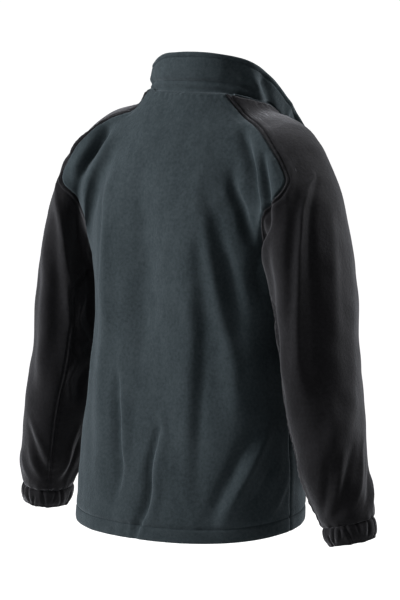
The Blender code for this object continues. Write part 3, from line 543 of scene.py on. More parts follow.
sleeveCreases = {  # marks are along the sleeve, degrees round it
    1: [
        ([(22, -70), (30, -20), (32, 20), (24, 60)], 26, 24, -7.0, 0.0, 0.0),
        ([(150, 44), (171, 63), (204, 87), (259, 110), (296, 122), (336, 136)], 10, 11, 8.0, 0.7, 0.2),
        ([(150, 74), (180, 92), (206, 108), (262, 128), (306, 142)], 9, 12, -7.0, -0.2, 0.2),
        ([(190, 74), (236, 92), (299, 106), (381, 115), (450, 116)], 9, 14, -4.2, 0.0, 0.1),
        ([(220, 70), (288, 82), (383, 94), (440, 94), (500, 96)], 11, 14, 6.0, 0.2, 0.2),
        ([(230, 44), (320, 58), (420, 66), (500, 72)], 12, 16, -2.6, 0.0, 0.0),
        ([(120, 36), (150, 50), (180, 56)], 6, 8, -3.0, 0.0, 0.3),
        ([(313, 122), (357, 130), (402, 136)], 5, 5, 2.8, 0.2, 0.3),
        ([(340, 150), (362, 146), (386, 147), (402, 156), (420, 168)], 5, 6, 5.0, 0.0, 0.5),
        ([(330, 158), (352, 158), (378, 162), (396, 172)], 6, 8, -4.5, 0.0, 0.2),
        ([(410, 160), (428, 152), (446, 164)], 5, 5, 3.6, 0.0, 0.5),
        ([(404, 146), (424, 144), (440, 156)], 4, 5, -3.0, 0.0, 0.3),
        ([(436, 152), (452, 145), (470, 139), (492, 143), (510, 150)], 5, 7, 4.4, 0.0, 0.4),
        ([(452, 162), (474, 156), (500, 160)], 7, 8, -4.0, 0.0, 0.2),
        ([(540, 82), (560, 98), (578, 112), (604, 132)], 5, 6, 3.2, 0.3, 0.5),
        ([(556, 80), (580, 98), (604, 116), (624, 136)], 5, 7, -3.0, 0.0, 0.3),
        ([(580, 84), (613, 104), (640, 126)], 6, 6, 2.8, 0.2, 0.3),
        ([(540, 172), (574, 166), (608, 164), (634, 153)], 5, 6, 4.2, 0.0, 0.5),
        ([(560, 182), (596, 180), (624, 172), (644, 164)], 6, 7, -4.0, 0.0, 0.3),
        ([(590, 210), (620, 202), (644, 194), (654, 182)], 5, 6, 4.2, 0.0, 0.5),
        ([(600, 62), (624, 78), (644, 96)], 6, 7, 2.2, 0.0, 0.2),
        ([(590, 20), (616, 34), (644, 40)], 7, 7, 2.4, 0.0, 0.2),
        ([(300, -60), (380, -84), (450, -96)], 10, 12, 3.4, 0.2, 0.1),
        ([(440, -40), (520, -76), (580, -110)], 8, 10, 3.6, 0.3, 0.2),
        ([(520, -20), (570, -60), (616, -92)], 7, 8, -3.0, 0.0, 0.2),
        ([(200, -80), (236, -104), (270, -140)], 7, 8, 4.0, 0.2, 0.2),
        ([(560, -120), (600, -136), (640, -140)], 6, 7, 3.4, 0.0, 0.3),
        ([(330, -176), (362, -160), (384, -130)], 7, 8, 3.2, 0.0, 0.3),
        ([(410, -170), (440, -148), (460, -120)], 7, 8, 3.2, 0.0, 0.3),
    ],
    -1: [
        ([(22, -70), (30, -20), (32, 20), (24, 60)], 28, 26, -9.0, 0.0, 0.0),
        ([(150, 16), (160, 23), (172, 31), (189, 41), (226, 51), (277, 61), (352, 72), (440, 75)],
         4, 9, 5.0, 0.1, 0.5),
        ([(160, 12), (176, 22), (196, 31), (240, 39), (320, 46), (394, 49), (472, 48)],
         5, 16, -5.0, 0.0, 0.2),
        ([(168, 44), (200, 56), (260, 70), (340, 84), (420, 92)], 7, 14, -3.4, 0.0, 0.1),
        ([(130, 38), (148, 47), (164, 54), (192, 64)], 6, 8, 2.4, 0.0, 0.2),
        ([(200, 2), (240, 9), (309, 17), (381, 20), (450, 20)], 12, 18, 3.4, 0.0, 0.0),
        ([(148, 14), (156, 18), (164, 30)], 3, 3, 1.8, 0.0, 0.6),
        ([(260, 104), (330, 112), (420, 112), (500, 110)], 9, 12, 2.6, 0.0, 0.1),
        ([(470, 30), (520, 36), (560, 44)], 10, 12, 2.6, 0.0, 0.1),
        ([(540, -22), (572, -8), (600, 4), (620, 18), (634, 36), (644, 52)], 6, 7, 4.2, 0.0, 0.4),
        ([(548, 6), (583, 24), (616, 48), (642, 76)], 7, 8, -3.8, 0.0, 0.3),
        ([(552, 26), (586, 40), (620, 60), (641, 90)], 6, 7, 3.2, 0.0, 0.3),
        ([(560, 52), (594, 66), (622, 88), (642, 110)], 6, 7, -2.8, 0.0, 0.2),
        ([(580, -36), (610, -18), (632, -2), (646, 14)], 6, 7, -3.2, 0.0, 0.3),
        ([(600, -50), (624, -32), (644, -14)], 6, 6, 2.8, 0.0, 0.2),
        ([(560, 120), (600, 130), (640, 140)], 6, 7, 3.0, 0.0, 0.3),
        ([(300, -56), (380, -80), (450, -92)], 10, 12, 3.4, 0.2, 0.1),
        ([(440, -44), (520, -78), (580, -108)], 8, 10, 3.6, 0.3, 0.2),
        ([(200, -84), (240, -108), (276, -144)], 7, 8, 4.0, 0.2, 0.2),
        ([(560, -116), (600, -132), (640, -138)], 6, 7, 3.4, 0.0, 0.3),
        ([(330, 166), (356, 150), (380, 148), (404, 160)], 6, 7, 4.0, 0.0, 0.4),
        ([(420, 166), (446, 152), (470, 150), (492, 160)], 6, 7, 3.6, 0.0, 0.4),
        ([(350, -170), (380, -150), (400, -126)], 7, 8, 3.2, 0.0, 0.3),
    ],
}

seamLook = {
    "reach": 18,
    "step": 1.5,
    "grooveDepth": 2.2,
    "grooveWidth": 1.6,
    "ridgeAt": 3.0,  # the allowance turned under the sleeve lifts a ridge beside the seam
    "ridgeWidth": 1.7,
    "ridgeHeight": 0.7,
    "stitchAt": 6.0,  # the second row of stitches sinks its own groove
    "stitchDepth": 1.3,
    "stitchWidth": 1.2,
    "puff": 0.6,  # the softer rise of the cloth beyond
    "puffStart": 1.5,
    "puffSteps": (2.5, 5, 12),  # from its start: full, falling, over
    "puckerHeight": 0.35,
    "puckerLength": 11.0,
    "puckerDrift": (1.7, 17.0),
    "puckerSteps": (0.5, 2.5, 3.0, 14.0),  # from the seam: start, full, falling, over
    "sideGroove": 1.2,
    "sidePuff": 0.5,
    "neckGroove": 1.6,
    "neckPuff": 0.4,
    "underarmTurn": 5.2,  # degrees between the two rows along the underarm seam
    "underarmGrooves": (1.5, 1.2),
    "underarmRidge": 0.8,
    "hemStitch": 21.0,
    "hemGroove": 0.8,
    "hemGrooveWidth": 1.5,
    "hemPuffs": [(0.6, 0, 4, 16, 20), (0.7, 22, 25, 27, 40)],  # height, then steps from the hem's edge
}

softness = {  # slow unevenness of soft cloth: wavelength, height
    "waves": [(150, 1.2), (83, 0.8), (41, 0.35), (22, 0.16)],
    "directions": 5,
    "directionShape": (1.0, 1.0, 0.5),
    "spread": 2.2,
    "seed": 7,
}


def fineStations(count):
    stations = np.linspace(0, count, count * panels["fineness"] + 1)
    extra = np.array(panels["edgeSteps"])
    return np.unique(np.round(np.concatenate([stations, extra, count - extra]), 4))


def between(values, stations, closed=False):  # a smooth curve through rows of values at these stations
    count = len(values)
    if closed:  # the last row is the first again
        slopes = (np.roll(values[:-1], -1, axis=0) - np.roll(values[:-1], 1, axis=0)) / 2
        slopes = np.concatenate([slopes, slopes[:1]])
    else:
        slopes = np.gradient(values, axis=0)
    low = np.clip(stations.astype(int), 0, count - 2)
    part = (stations - low).reshape((-1,) + (1,) * (values.ndim - 1))
    rise = values[low + 1] - values[low]
    return smoothCurve(values[low], rise, slopes[low] - rise, rise - slopes[low + 1], part)


def fineGrid(plan, rowStations, columnStations):
    rows = between(plan, rowStations)
    return np.moveaxis(between(np.moveaxis(rows, 1, 0), columnStations), 0, 1)


def onFace(marks, depth):  # across, height marks laid on the back or the front
    marks = np.array(marks, float)
    start = np.column_stack([marks[:, 0], np.full(len(marks), depth), marks[:, 1]])
    return settle(start, onlyAxis=1, rounds=12)


def onSleeve(marks, side):  # along, degrees marks laid on a sleeve
    marks = curveThrough(marks, panels["lineMarks"])
    return onSide(settle(sleeveRing(marks[:, 0], np.radians(marks[:, 1]))), side)


def creaseLines():  # every crease as a line on the cloth, with its widths, height, lean and sharpness
    lines = []
    for start, middle, end, halfWidth, height in mainFolds:
        share = np.linspace(0, 1, 60)[:, None]
        start, middle, end = (np.array(mark, float) for mark in (start, middle, end))
        control = 2 * middle - (start + end) / 2
        bow = (1 - share) ** 2 * start + 2 * share * (1 - share) * control + share**2 * end
        halfWidth *= creaseLook["foldWidth"]
        lines.append((bow, halfWidth, halfWidth, height, 0.0, 0.0))
    count = panels["lineMarks"]
    for creases, depth in ((backCreases, creaseLook["backDepth"]), (frontCreases, creaseLook["frontDepth"])):
        for marks, *shape in creases:
            lines.append((settle(curveThrough(onFace(marks, depth), count), rounds=4), *shape))
    for marks, *shape in gapCreases:
        lines.append((seamCurve(marks, count), *shape))
    for side, creases in sleeveCreases.items():
        for marks, *shape in creases:
            lines.append((onSleeve(marks, side), *shape))
    return lines


def boxAround(points, line, reach):  # the numbers of the points that may be near the line
    return np.nonzero(((points > line.min(0) - reach) & (points < line.max(0) + reach)).all(1))[0]


def creaseHeights(points, normals, lines):
    look = creaseLook
    lift = np.zeros(len(points))
    for line, startWidth, endWidth, height, lean, sharpness in lines:
        near = boxAround(points, line, look["reach"] * max(startWidth, endWidth) + 2)
        if not len(near):
            continue
        nearest, gap = nearestRow(points[near], line)
        tangent = tangents(line)[nearest]
        offset = points[near] - line[nearest]
        onward = (offset * tangent).sum(1)
        inside = (nearest > 0) & (nearest < len(line) - 1)
        gap = np.where(inside, np.sqrt(np.maximum(gap**2 - onward**2, 0)), gap)
        side = (np.cross(tangent, normals[near]) * offset).sum(1)
        share = nearest / (len(line) - 1)
        width = startWidth + (endWidth - startWidth) * share
        width = width * (1 + look["leanShare"] * lean * np.tanh(side / width * look["leanTurn"]))
        scale, start = look["taperEnds"]
        taper = np.sin(math.pi * np.clip(share * scale + start, 0, 1)) ** look["taperPower"]
        taper *= np.where(inside, 1, np.exp(-((onward / width) ** 2)))
        power = 2 - look["sharpShare"] * sharpness
        lift[near] += height * taper * np.exp(-((gap / width) ** power) * look["steepness"])
    return lift


def softHeights(points):
    rng = np.random.default_rng(softness["seed"])
    lift = np.zeros(len(points))
    for wavelength, height in softness["waves"]:
        for _ in range(softness["directions"]):
            direction = unitRows(rng.normal(size=3) * np.array(softness["directionShape"]))
            phase = rng.uniform(0, 2 * math.pi)
            wave = np.sin(points @ direction * 2 * math.pi / wavelength + phase)
            lift += height / softness["spread"] * wave
    return lift


def bell(gap, width):
    return np.exp(-((gap / width) ** 2))


def seamHeights(points, line, groove, ridge=0.0, stitches=0.0, puff=0.0):  # rise and fall across a seam
    look = seamLook
    steps = max(8, int(stepLengths(line).sum() / look["step"]))
    fine = spaced(line, steps)
    near = boxAround(points, fine, look["reach"])
    lift = np.zeros(len(points))
    if not len(near):
        return lift
    nearest, gap = nearestRow(points[near], fine)
    run = nearest * look["step"]
    rise = -groove * bell(gap, look["grooveWidth"])
    rise += ridge * bell(gap - look["ridgeAt"], look["ridgeWidth"])
    rise -= stitches * bell(gap - look["stitchAt"], look["stitchWidth"])
    start = look["stitchAt"] + 1.0 if stitches else look["puffStart"]
    rise += puff * plateau(start, *(start + step for step in look["puffSteps"]), gap)
    drift, driftLength = look["puckerDrift"]
    wave = np.sin(run * 2 * math.pi / look["puckerLength"] + drift * np.sin(run / driftLength))
    lift[near] = rise + look["puckerHeight"] * wave * plateau(*look["puckerSteps"], gap)
    return lift


def wallMesh(name, outer, inner, closedFrom=None):  # a wall between two grids, with rounded edges
    rows, columns = outer.shape[:2]
    number = np.arange(rows * columns).reshape(rows, columns)
    if closedFrom is not None:
        number[closedFrom:, -1] = number[closedFrom:, 0]
    size = rows * columns
    quads = np.stack([number[:-1, :-1], number[:-1, 1:], number[1:, 1:], number[1:, :-1]], axis=-1)
    quads = quads.reshape(-1, 4)
    faces = [quads, quads[:, ::-1] + size]
    points = [outer.reshape(-1, 3), inner.reshape(-1, 3)]
    openRows = rows - 1 if closedFrom is None else closedFrom
    top = list(number[0, :])
    right = list(number[1:openRows + 1, -1])
    left = list(number[openRows:0:-1, 0])
    bottom = list(number[-1, ::-1])
    if closedFrom is None:
        loops = [top + right + bottom[1:-1] + left]
    elif closedFrom == 0:
        loops = [top[:-1], bottom[:-1]]
    else:
        loops = [top + right + left[1:], bottom[:-1]]
    both = np.concatenate(points)
    total = 2 * size
    inward = {}
    for row, column, stepRow, stepColumn in edgeNeighbours(rows, columns, openRows, closedFrom):
        inward.setdefault(number[row, column], []).append(number[row + stepRow, column + stepColumn])
    for loop in loops:
        outside = []
        for vertex in loop:
            away = sum((both[vertex] - both[other] for other in inward[vertex]), np.zeros(3))
            outside.append(away / max(np.linalg.norm(away), 1e-9))
        loop = np.array(loop)
        thick = np.linalg.norm(both[loop] - both[loop + size], axis=1, keepdims=True)
        middle = (both[loop] + both[loop + size]) / 2
        middle += np.array(outside) * thick * panels["wallEdge"]
        numbers = np.arange(total, total + len(loop))
        total += len(loop)
        points.append(middle)
        after = np.roll(loop, -1)
        numbersAfter = np.roll(numbers, -1)
        faces.append(np.stack([after, loop, numbers, numbersAfter], axis=1))
        faces.append(np.stack([numbersAfter, numbers, loop + size, after + size], axis=1))
    return meshFrom(name, np.concatenate(points), np.concatenate(faces))


def edgeNeighbours(rows, columns, openRows, closedFrom):  # each edge point's neighbour inside the cloth
    steps = []
    for column in range(columns):
        steps.append((0, column, 1, 0))
        steps.append((rows - 1, column, -1, 0))
    if closedFrom != 0:
        for row in range(openRows + 1):
            steps.append((row, 0, 0, 1))
            steps.append((row, columns - 1, 0, -1))
    return steps


def meshFrom(name, points, faces):
    data = bpy.data.meshes.new(name)
    points = points * mm
    used, fresh = np.unique(faces, return_inverse=True)
    fresh = fresh.reshape(faces.shape)
    points = points[used]
    data.vertices.add(len(points))
    data.vertices.foreach_set("co", points.ravel())
    data.loops.add(fresh.size)
    data.loops.foreach_set("vertex_index", fresh.ravel())
    data.polygons.add(len(fresh))
    data.polygons.foreach_set("loop_start", np.arange(len(fresh)) * fresh.shape[1])
    data.polygons.foreach_set("loop_total", np.full(len(fresh), fresh.shape[1]))
    data.update(calc_edges=True)
    data.validate()
    data.shade_smooth()
    return data


def newObject(name, data):
    made = bpy.data.objects.new(name, data)
    bpy.context.scene.collection.objects.link(made)
    return made


def place(name, data, material, body="jacket"):
    data.materials.append(material)
    piece = newObject(name, data)
    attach(piece, body)
    return piece


def ringFaces(rings, sides):  # the faces between rings of points, ring after ring
    faces = []
    for start in range(0, (rings - 1) * sides, sides):
        for turn in range(sides):
            after = (turn + 1) % sides
            faces.append((start + turn, start + after, start + sides + after, start + sides + turn))
    return faces


def blockPoints(centres, alongAxis, acrossAxis, upAxis, shape):  # one shape's points at many places
    shape = np.array(shape, float)
    return (
        centres[:, None]
        + shape[None, :, 0:1] * alongAxis[:, None]
        + shape[None, :, 1:2] * acrossAxis[:, None]
        + shape[None, :, 2:3] * upAxis[:, None]
    )


def blocksMesh(name, points, faces):  # one shape's faces at many places
    starts = np.arange(len(points)) * points.shape[1]
    faces = (np.array(faces)[None] + starts[:, None, None]).reshape(-1, 4)
    return meshFrom(name, points.reshape(-1, 3), faces)


def gridNormals(points, facing):
    normals = unitRows(np.cross(np.gradient(points, axis=0), np.gradient(points, axis=1)))
    return normals * np.sign((normals * facing).sum(-1, keepdims=True))


def pullIn(edge, inner):
    inward = inner - edge
    inward = withEnds(inward, inward[1], inward[-2])
    return edge + squareTo(inward, tangents(edge)) * (panels["seamGap"] / 2)


def insetGrid(points, sides):  # the grid with half a seam's gap taken off these edges
    points = points.copy()
    if "left" in sides:
        points[:, 0] = pullIn(points[:, 0], points[:, 2])
    if "right" in sides:
        points[:, -1] = pullIn(points[:, -1], points[:, -3])
    if "top" in sides:
        points[0] = pullIn(points[0], points[2])
    return points


fleeceLooks = {
    "slateFleece": {
        "colour": (0.0128, 0.0190, 0.0222),
        "lightColour": (0.0284, 0.0376, 0.0428),
        "sheen": 0.25,
        "sheenTint": (0.62, 0.72, 0.80),
    },
    "blackFleece": {
        "colour": (0.0039, 0.0038, 0.0045),
        "lightColour": (0.0100, 0.0098, 0.0114),
        "sheen": 0.42,
        "sheenTint": (0.62, 0.63, 0.68),
    },
}
napLook = {
    "clumpScale": 210.0,
    "fibreScale": 1100.0,
    "brushScale": 17.0,
    "noiseRoughness": 0.55,
    "pileShares": (0.62, 0.38),  # clumps, fibres
    "shadeShares": (0.72, 0.28),  # pile, brush marks
    "shadeRange": (0.36, 0.66),
    "roughness": 1.0,
    "pileShine": -0.2,
    "napBump": 0.55,
    "napHeight": 0.0016,
    "specular": 0.1,
    "sheenRoughness": 0.42,
}
plainLooks = {  # what isn't given here is as in plainStart
    "tapeWeave": {"colour": (0.012, 0.012, 0.014), "roughness": 0.85, "bumpScale": 1400.0},
    "toothPlastic": {"colour": (0.014, 0.014, 0.016), "roughness": 0.42},
    "sliderEnamel": {"colour": (0.022, 0.022, 0.025), "roughness": 0.32, "metallic": 0.7},
    "slateThread": {"colour": (0.014, 0.020, 0.024), "roughness": 0.9, "specular": 0.1},
    "blackThread": {"colour": (0.004, 0.004, 0.005), "roughness": 0.9, "specular": 0.1},
}
plainStart = {
    "metallic": 0.0,
    "specular": 0.5,
    "bumpScale": 900.0,
    "bumpHeight": 0.0002,
    "mottle": (0.75, 1.35),  # the darkest and the lightest share of the colour
}


def setInputs(node, values):
    for label, value in values.items():
        node.inputs[label].default_value = value


def newMaterial(name):
    material = bpy.data.materials.new(name)
    material.use_nodes = True
    return material, material.node_tree, material.node_tree.nodes["Principled BSDF"]


def addNoise(group, coordinates, scale, detail):
    noise = group.nodes.new("ShaderNodeTexNoise")
    setInputs(noise, {"Detail": detail, "Roughness": napLook["noiseRoughness"]})
    group.links.new(coordinates, noise.inputs["Vector"])
    group.links.new(scale, noise.inputs["Scale"])
    return noise.outputs["Fac"]


def mathNode(group, operation, first, second):
    node = group.nodes.new("ShaderNodeMath")
    node.operation = operation
    for socket, value in zip(node.inputs, (first, second)):
        if isinstance(value, (int, float)):
            socket.default_value = value
        else:
            group.links.new(value, socket)
    return node.outputs[0]


def scaledSum(group, first, firstShare, second, secondShare=None):  # two values added by their shares
    first = mathNode(group, "MULTIPLY", first, firstShare)
    if secondShare is not None:
        second = mathNode(group, "MULTIPLY", second, secondShare)
    return mathNode(group, "ADD", first, second)


def makeNapGroup():  # brushed pile: clumps of fibre over slow brush marks
    look = napLook
    group = bpy.data.node_groups.new("fleeceNap", "ShaderNodeTree")
    for label, kind, value in (
        ("Colour", "NodeSocketColor", (0.03, 0.045, 0.054, 1)),
        ("Light Colour", "NodeSocketColor", (0.06, 0.08, 0.1, 1)),
        ("Clump Scale", "NodeSocketFloat", look["clumpScale"]),
        ("Fibre Scale", "NodeSocketFloat", look["fibreScale"]),
        ("Brush Scale", "NodeSocketFloat", look["brushScale"]),
    ):
        socket = group.interface.new_socket(name=label, in_out="INPUT", socket_type=kind)
        socket.default_value = value
    for label, kind in (("Colour", "Color"), ("Roughness", "Float"), ("Height", "Float")):
        group.interface.new_socket(name=label, in_out="OUTPUT", socket_type="NodeSocket" + kind)
    start = group.nodes.new("NodeGroupInput")
    end = group.nodes.new("NodeGroupOutput")
    coordinates = group.nodes.new("ShaderNodeTexCoord").outputs["Object"]
    clumps = addNoise(group, coordinates, start.outputs["Clump Scale"], 3.0)
    fibres = addNoise(group, coordinates, start.outputs["Fibre Scale"], 2.0)
    brushed = addNoise(group, coordinates, start.outputs["Brush Scale"], 2.0)
    clumpShare, fibreShare = look["pileShares"]
    pileShare, brushShare = look["shadeShares"]
    pile = scaledSum(group, clumps, clumpShare, fibres, fibreShare)
    shade = scaledSum(group, pile, pileShare, brushed, brushShare)
    low, high = look["shadeRange"]
    spread = group.nodes.new("ShaderNodeMapRange")
    setInputs(spread, {"From Min": low, "From Max": high})
    group.links.new(shade, spread.inputs["Value"])
    mix = group.nodes.new("ShaderNodeMix")
    mix.data_type = "RGBA"
    group.links.new(spread.outputs["Result"], mix.inputs["Factor"])
    group.links.new(start.outputs["Colour"], mix.inputs["A"])
    group.links.new(start.outputs["Light Colour"], mix.inputs["B"])
    group.links.new(mix.outputs["Result"], end.inputs["Colour"])
    rough = scaledSum(group, pile, look["pileShine"], look["roughness"])
    group.links.new(rough, end.inputs["Roughness"])
    group.links.new(pile, end.inputs["Height"])
    return group


napGroup = makeNapGroup()


def fleeceMaterial(name):
    look = fleeceLooks[name]
    material, tree, shader = newMaterial(name)
    nap = tree.nodes.new("ShaderNodeGroup")
    nap.node_tree = napGroup
    setInputs(nap, {"Colour": (*look["colour"], 1), "Light Colour": (*look["lightColour"], 1)})
    bump = tree.nodes.new("ShaderNodeBump")
    setInputs(bump, {"Strength": napLook["napBump"], "Distance": napLook["napHeight"]})
    tree.links.new(nap.outputs["Height"], bump.inputs["Height"])
    tree.links.new(bump.outputs["Normal"], shader.inputs["Normal"])
    tree.links.new(nap.outputs["Colour"], shader.inputs["Base Color"])
    tree.links.new(nap.outputs["Roughness"], shader.inputs["Roughness"])
    setInputs(shader, {
        "Specular IOR Level": napLook["specular"],
        "Sheen Weight": look["sheen"],
        "Sheen Roughness": napLook["sheenRoughness"],
        "Sheen Tint": (*look["sheenTint"], 1),
    })
    return material


def plainMaterial(name):
    look = {**plainStart, **plainLooks[name]}
    material, tree, shader = newMaterial(name)
    coordinates = tree.nodes.new("ShaderNodeTexCoord")
    noise = tree.nodes.new("ShaderNodeTexNoise")
    setInputs(noise, {"Scale": look["bumpScale"]})
    ramp = tree.nodes.new("ShaderNodeValToRGB")
    for element, share in zip(ramp.color_ramp.elements, look["mottle"]):
        element.color = (*[value * share for value in look["colour"]], 1)
    bump = tree.nodes.new("ShaderNodeBump")
    setInputs(bump, {"Distance": look["bumpHeight"]})
    tree.links.new(coordinates.outputs["Object"], noise.inputs["Vector"])
    tree.links.new(noise.outputs["Fac"], ramp.inputs["Fac"])
    tree.links.new(ramp.outputs["Color"], shader.inputs["Base Color"])
    tree.links.new(noise.outputs["Fac"], bump.inputs["Height"])
    tree.links.new(bump.outputs["Normal"], shader.inputs["Normal"])
    setInputs(shader, {
        "Roughness": look["roughness"],
        "Metallic": look["metallic"],
        "Specular IOR Level": look["specular"],
    })
    return material


slateFleece = fleeceMaterial("slateFleece")
blackFleece = fleeceMaterial("blackFleece")
tapeWeave = plainMaterial("tapeWeave")
toothPlastic = plainMaterial("toothPlastic")
sliderEnamel = plainMaterial("sliderEnamel")
slateThread = plainMaterial("slateThread")
blackThread = plainMaterial("blackThread")
print("materials made")

seam = planSeams()
backPlan, frontPlan = planBody(seam)
sleevePlan = planSleeve(seam)
print("pattern planned")

rowsDown = panels["raglanRows"] + panels["sideRows"]
fineRows = np.union1d(fineStations(rowsDown), rowsDown - np.array(panels["hemSteps"]))
fineSleeveRows = fineStations(panels["raglanRows"] + panels["sleeveRows"])
backStations = fineStations(panels["backColumns"])
frontStations = fineStations(panels["frontColumns"])
sleeveStations = fineStations(panels["sleeveColumns"])
sleeveStations = np.concatenate([sleeveStations, np.arange(*panels["underarmSteps"])])
sleeveStations = np.unique(np.round(sleeveStations, 3))
closedFrom = int(np.nonzero(np.isclose(fineSleeveRows, panels["raglanRows"]))[0][0])


def fineSeam(name, rows):
    return settle(between(seam[name], fineStations(rows)), rounds=4)


def neckLine():  # the neck seam's left half
    count = panels["neckMarks"]
    lines = [seamCurve(seamMarks[name], count) for name in ("frontNeck", "sideNeck", "backNeck")]
    return np.concatenate([lines[0][::-1], lines[1][1:], lines[2][1:count // 2 + 1]])


raglanLines = [fineSeam(name, panels["raglanRows"]) for name in ("raglanBack", "raglanFront")]
sideLine = fineSeam("side", panels["sideRows"])
underarmLines = [
    onSleeve([(along, angle - turn) for along, angle in seamMarks["underarm"]], 1)
    for turn in (0.0, seamLook["underarmTurn"])
]
neckSeam = neckLine()
creases = creaseLines()


def seamLift(points, sleeve):  # grooves, ridges and puffs of the seams round one piece
    look = seamLook
    lift = np.zeros(len(points))
    ridge = look["ridgeHeight"] if sleeve else 0.0
    stitches = look["stitchDepth"] if sleeve else 0.0
    for side in (1, -1):
        for line in raglanLines:
            line = onSide(line, side)
            lift += seamHeights(points, line, look["grooveDepth"], ridge, stitches, look["puff"])
        if sleeve:
            for line, depth in zip(underarmLines, look["underarmGrooves"]):
                lift += seamHeights(points, onSide(line, side), depth)
            middle = (underarmLines[0] + underarmLines[1]) / 2
            lift += seamHeights(points, onSide(middle, side), -look["underarmRidge"])
        else:
            lift += seamHeights(points, onSide(sideLine, side), look["sideGroove"], puff=look["sidePuff"])
        lift += seamHeights(points, onSide(neckSeam, side), look["neckGroove"], puff=look["neckPuff"])
    if not sleeve:
        rise = points[:, 2] - hemHeight(points[:, 1])
        lift -= look["hemGroove"] * bell(rise - look["hemStitch"], look["hemGrooveWidth"])
        for height, *steps in look["hemPuffs"]:
            lift += height * plateau(*steps, rise)
    return lift


def clothed(points, sleeve=False):  # cloth over points of the form: its outer points and normals
    flat = points.reshape(-1, 3)
    normals = formNormals(flat)
    lift = creaseHeights(flat, normals, creases) + softHeights(flat) + seamLift(flat, sleeve)
    return (flat + normals * lift[:, None]).reshape(points.shape), normals.reshape(points.shape)


def makePanel(name, plan, columnStations, side, sides, node):
    points = onSide(settle(fineGrid(plan, fineRows, columnStations), rounds=3), side)
    outer, normals = clothed(points)
    inner = insetGrid(outer - normals * panels["wall"], sides)
    outer = insetGrid(outer, sides)
    panel = place(name, wallMesh(name, outer, inner), slateFleece)
    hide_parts(node)
    print(name, "made with", len(panel.data.polygons), "faces")
    return outer, normals


gatherLook = {
    "puckers": 17,  # round the sleeve's end
    "puckerDrift": 2.2,  # how far they are pushed about
    "puckerShares": (0.7, 0.3),  # the even and the uneven part of their height
    "puckerHeight": 0.9,
    "puckerLength": 7.0,
    "blouseWaves": 6,  # the cloth bags over the cuff
    "blouseDrift": 1.4,
    "blouseUneven": 0.5,
    "blouseHeight": 1.1,
    "blouseAt": 10,
    "blouseWidth": 8,
    "seamDepth": 1.2,
    "seamWidth": 2.4,
}


def gatherLift(points, side):  # small uneven puckers where a sleeve is gathered into its cuff
    look = gatherLook
    fromEnd = np.linalg.norm(points - points[-1], axis=-1)
    around = np.linspace(0, 2 * math.pi, points.shape[1])
    even, uneven = look["puckerShares"]
    ripple = np.cos(look["puckers"] * around + look["puckerDrift"] * np.sin(3 * around + side))
    ripple = ripple * (even + uneven * np.sin(5 * around - side))
    slow = np.cos(look["blouseWaves"] * around + look["blouseDrift"] * np.sin(2 * around + 2 * side))
    lift = look["puckerHeight"] * ripple * np.exp(-fromEnd / look["puckerLength"])
    blouse = look["blouseHeight"] * (1 + look["blouseUneven"] * slow)
    lift += blouse * bell(fromEnd - look["blouseAt"], look["blouseWidth"])
    return lift - look["seamDepth"] * bell(fromEnd, look["seamWidth"])


def makeSleeve(side):
    seamRow = panels["raglanRows"]
    points = fineGrid(sleevePlan, fineSleeveRows, sleeveStations)
    tube = between(sleevePlan[seamRow:], fineSleeveRows[closedFrom:] - seamRow)
    tube = np.moveaxis(between(np.moveaxis(tube, 1, 0), sleeveStations, closed=True), 0, 1)
    points[closedFrom + 1:] = tube[1:]
    points = onSide(settle(points, rounds=3), side)
    outer, normals = clothed(points, sleeve=True)
    outer[closedFrom + 1:] += (normals * gatherLift(points, side)[..., None])[closedFrom + 1:]
    inner = outer - normals * panels["wall"]
    cap = slice(0, closedFrom + 1)
    for grid in (outer, inner):
        middle = grid[closedFrom, 0].copy()
        grid[cap] = insetGrid(grid[cap], ("left", "right", "top"))
        grid[closedFrom, 0] = middle
        grid[closedFrom:, -1] = grid[closedFrom:, 0]
        grid[-1] = pullIn(grid[-1], grid[-3])
    name = "sleeve" + sideNames[side]
    sleeve = place(name, wallMesh(name, outer, inner, closedFrom), blackFleece)
    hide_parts("sleeve_left" if side == 1 else "sleeve_right")
    print(name, "made with", len(sleeve.data.polygons), "faces")
    return outer, normals


backCloth = makePanel("backPanel", backPlan, backStations, 1, ("left", "right", "top"),
                      "back")
frontCloth = {}
sleeveCloth = {}
for side, label in sideNames.items():
    frontCloth[side] = makePanel("front" + label, frontPlan, frontStations, side, ("left", "top"),
                                 "front_" + label.lower())
    sleeveCloth[side] = makeSleeve(side)

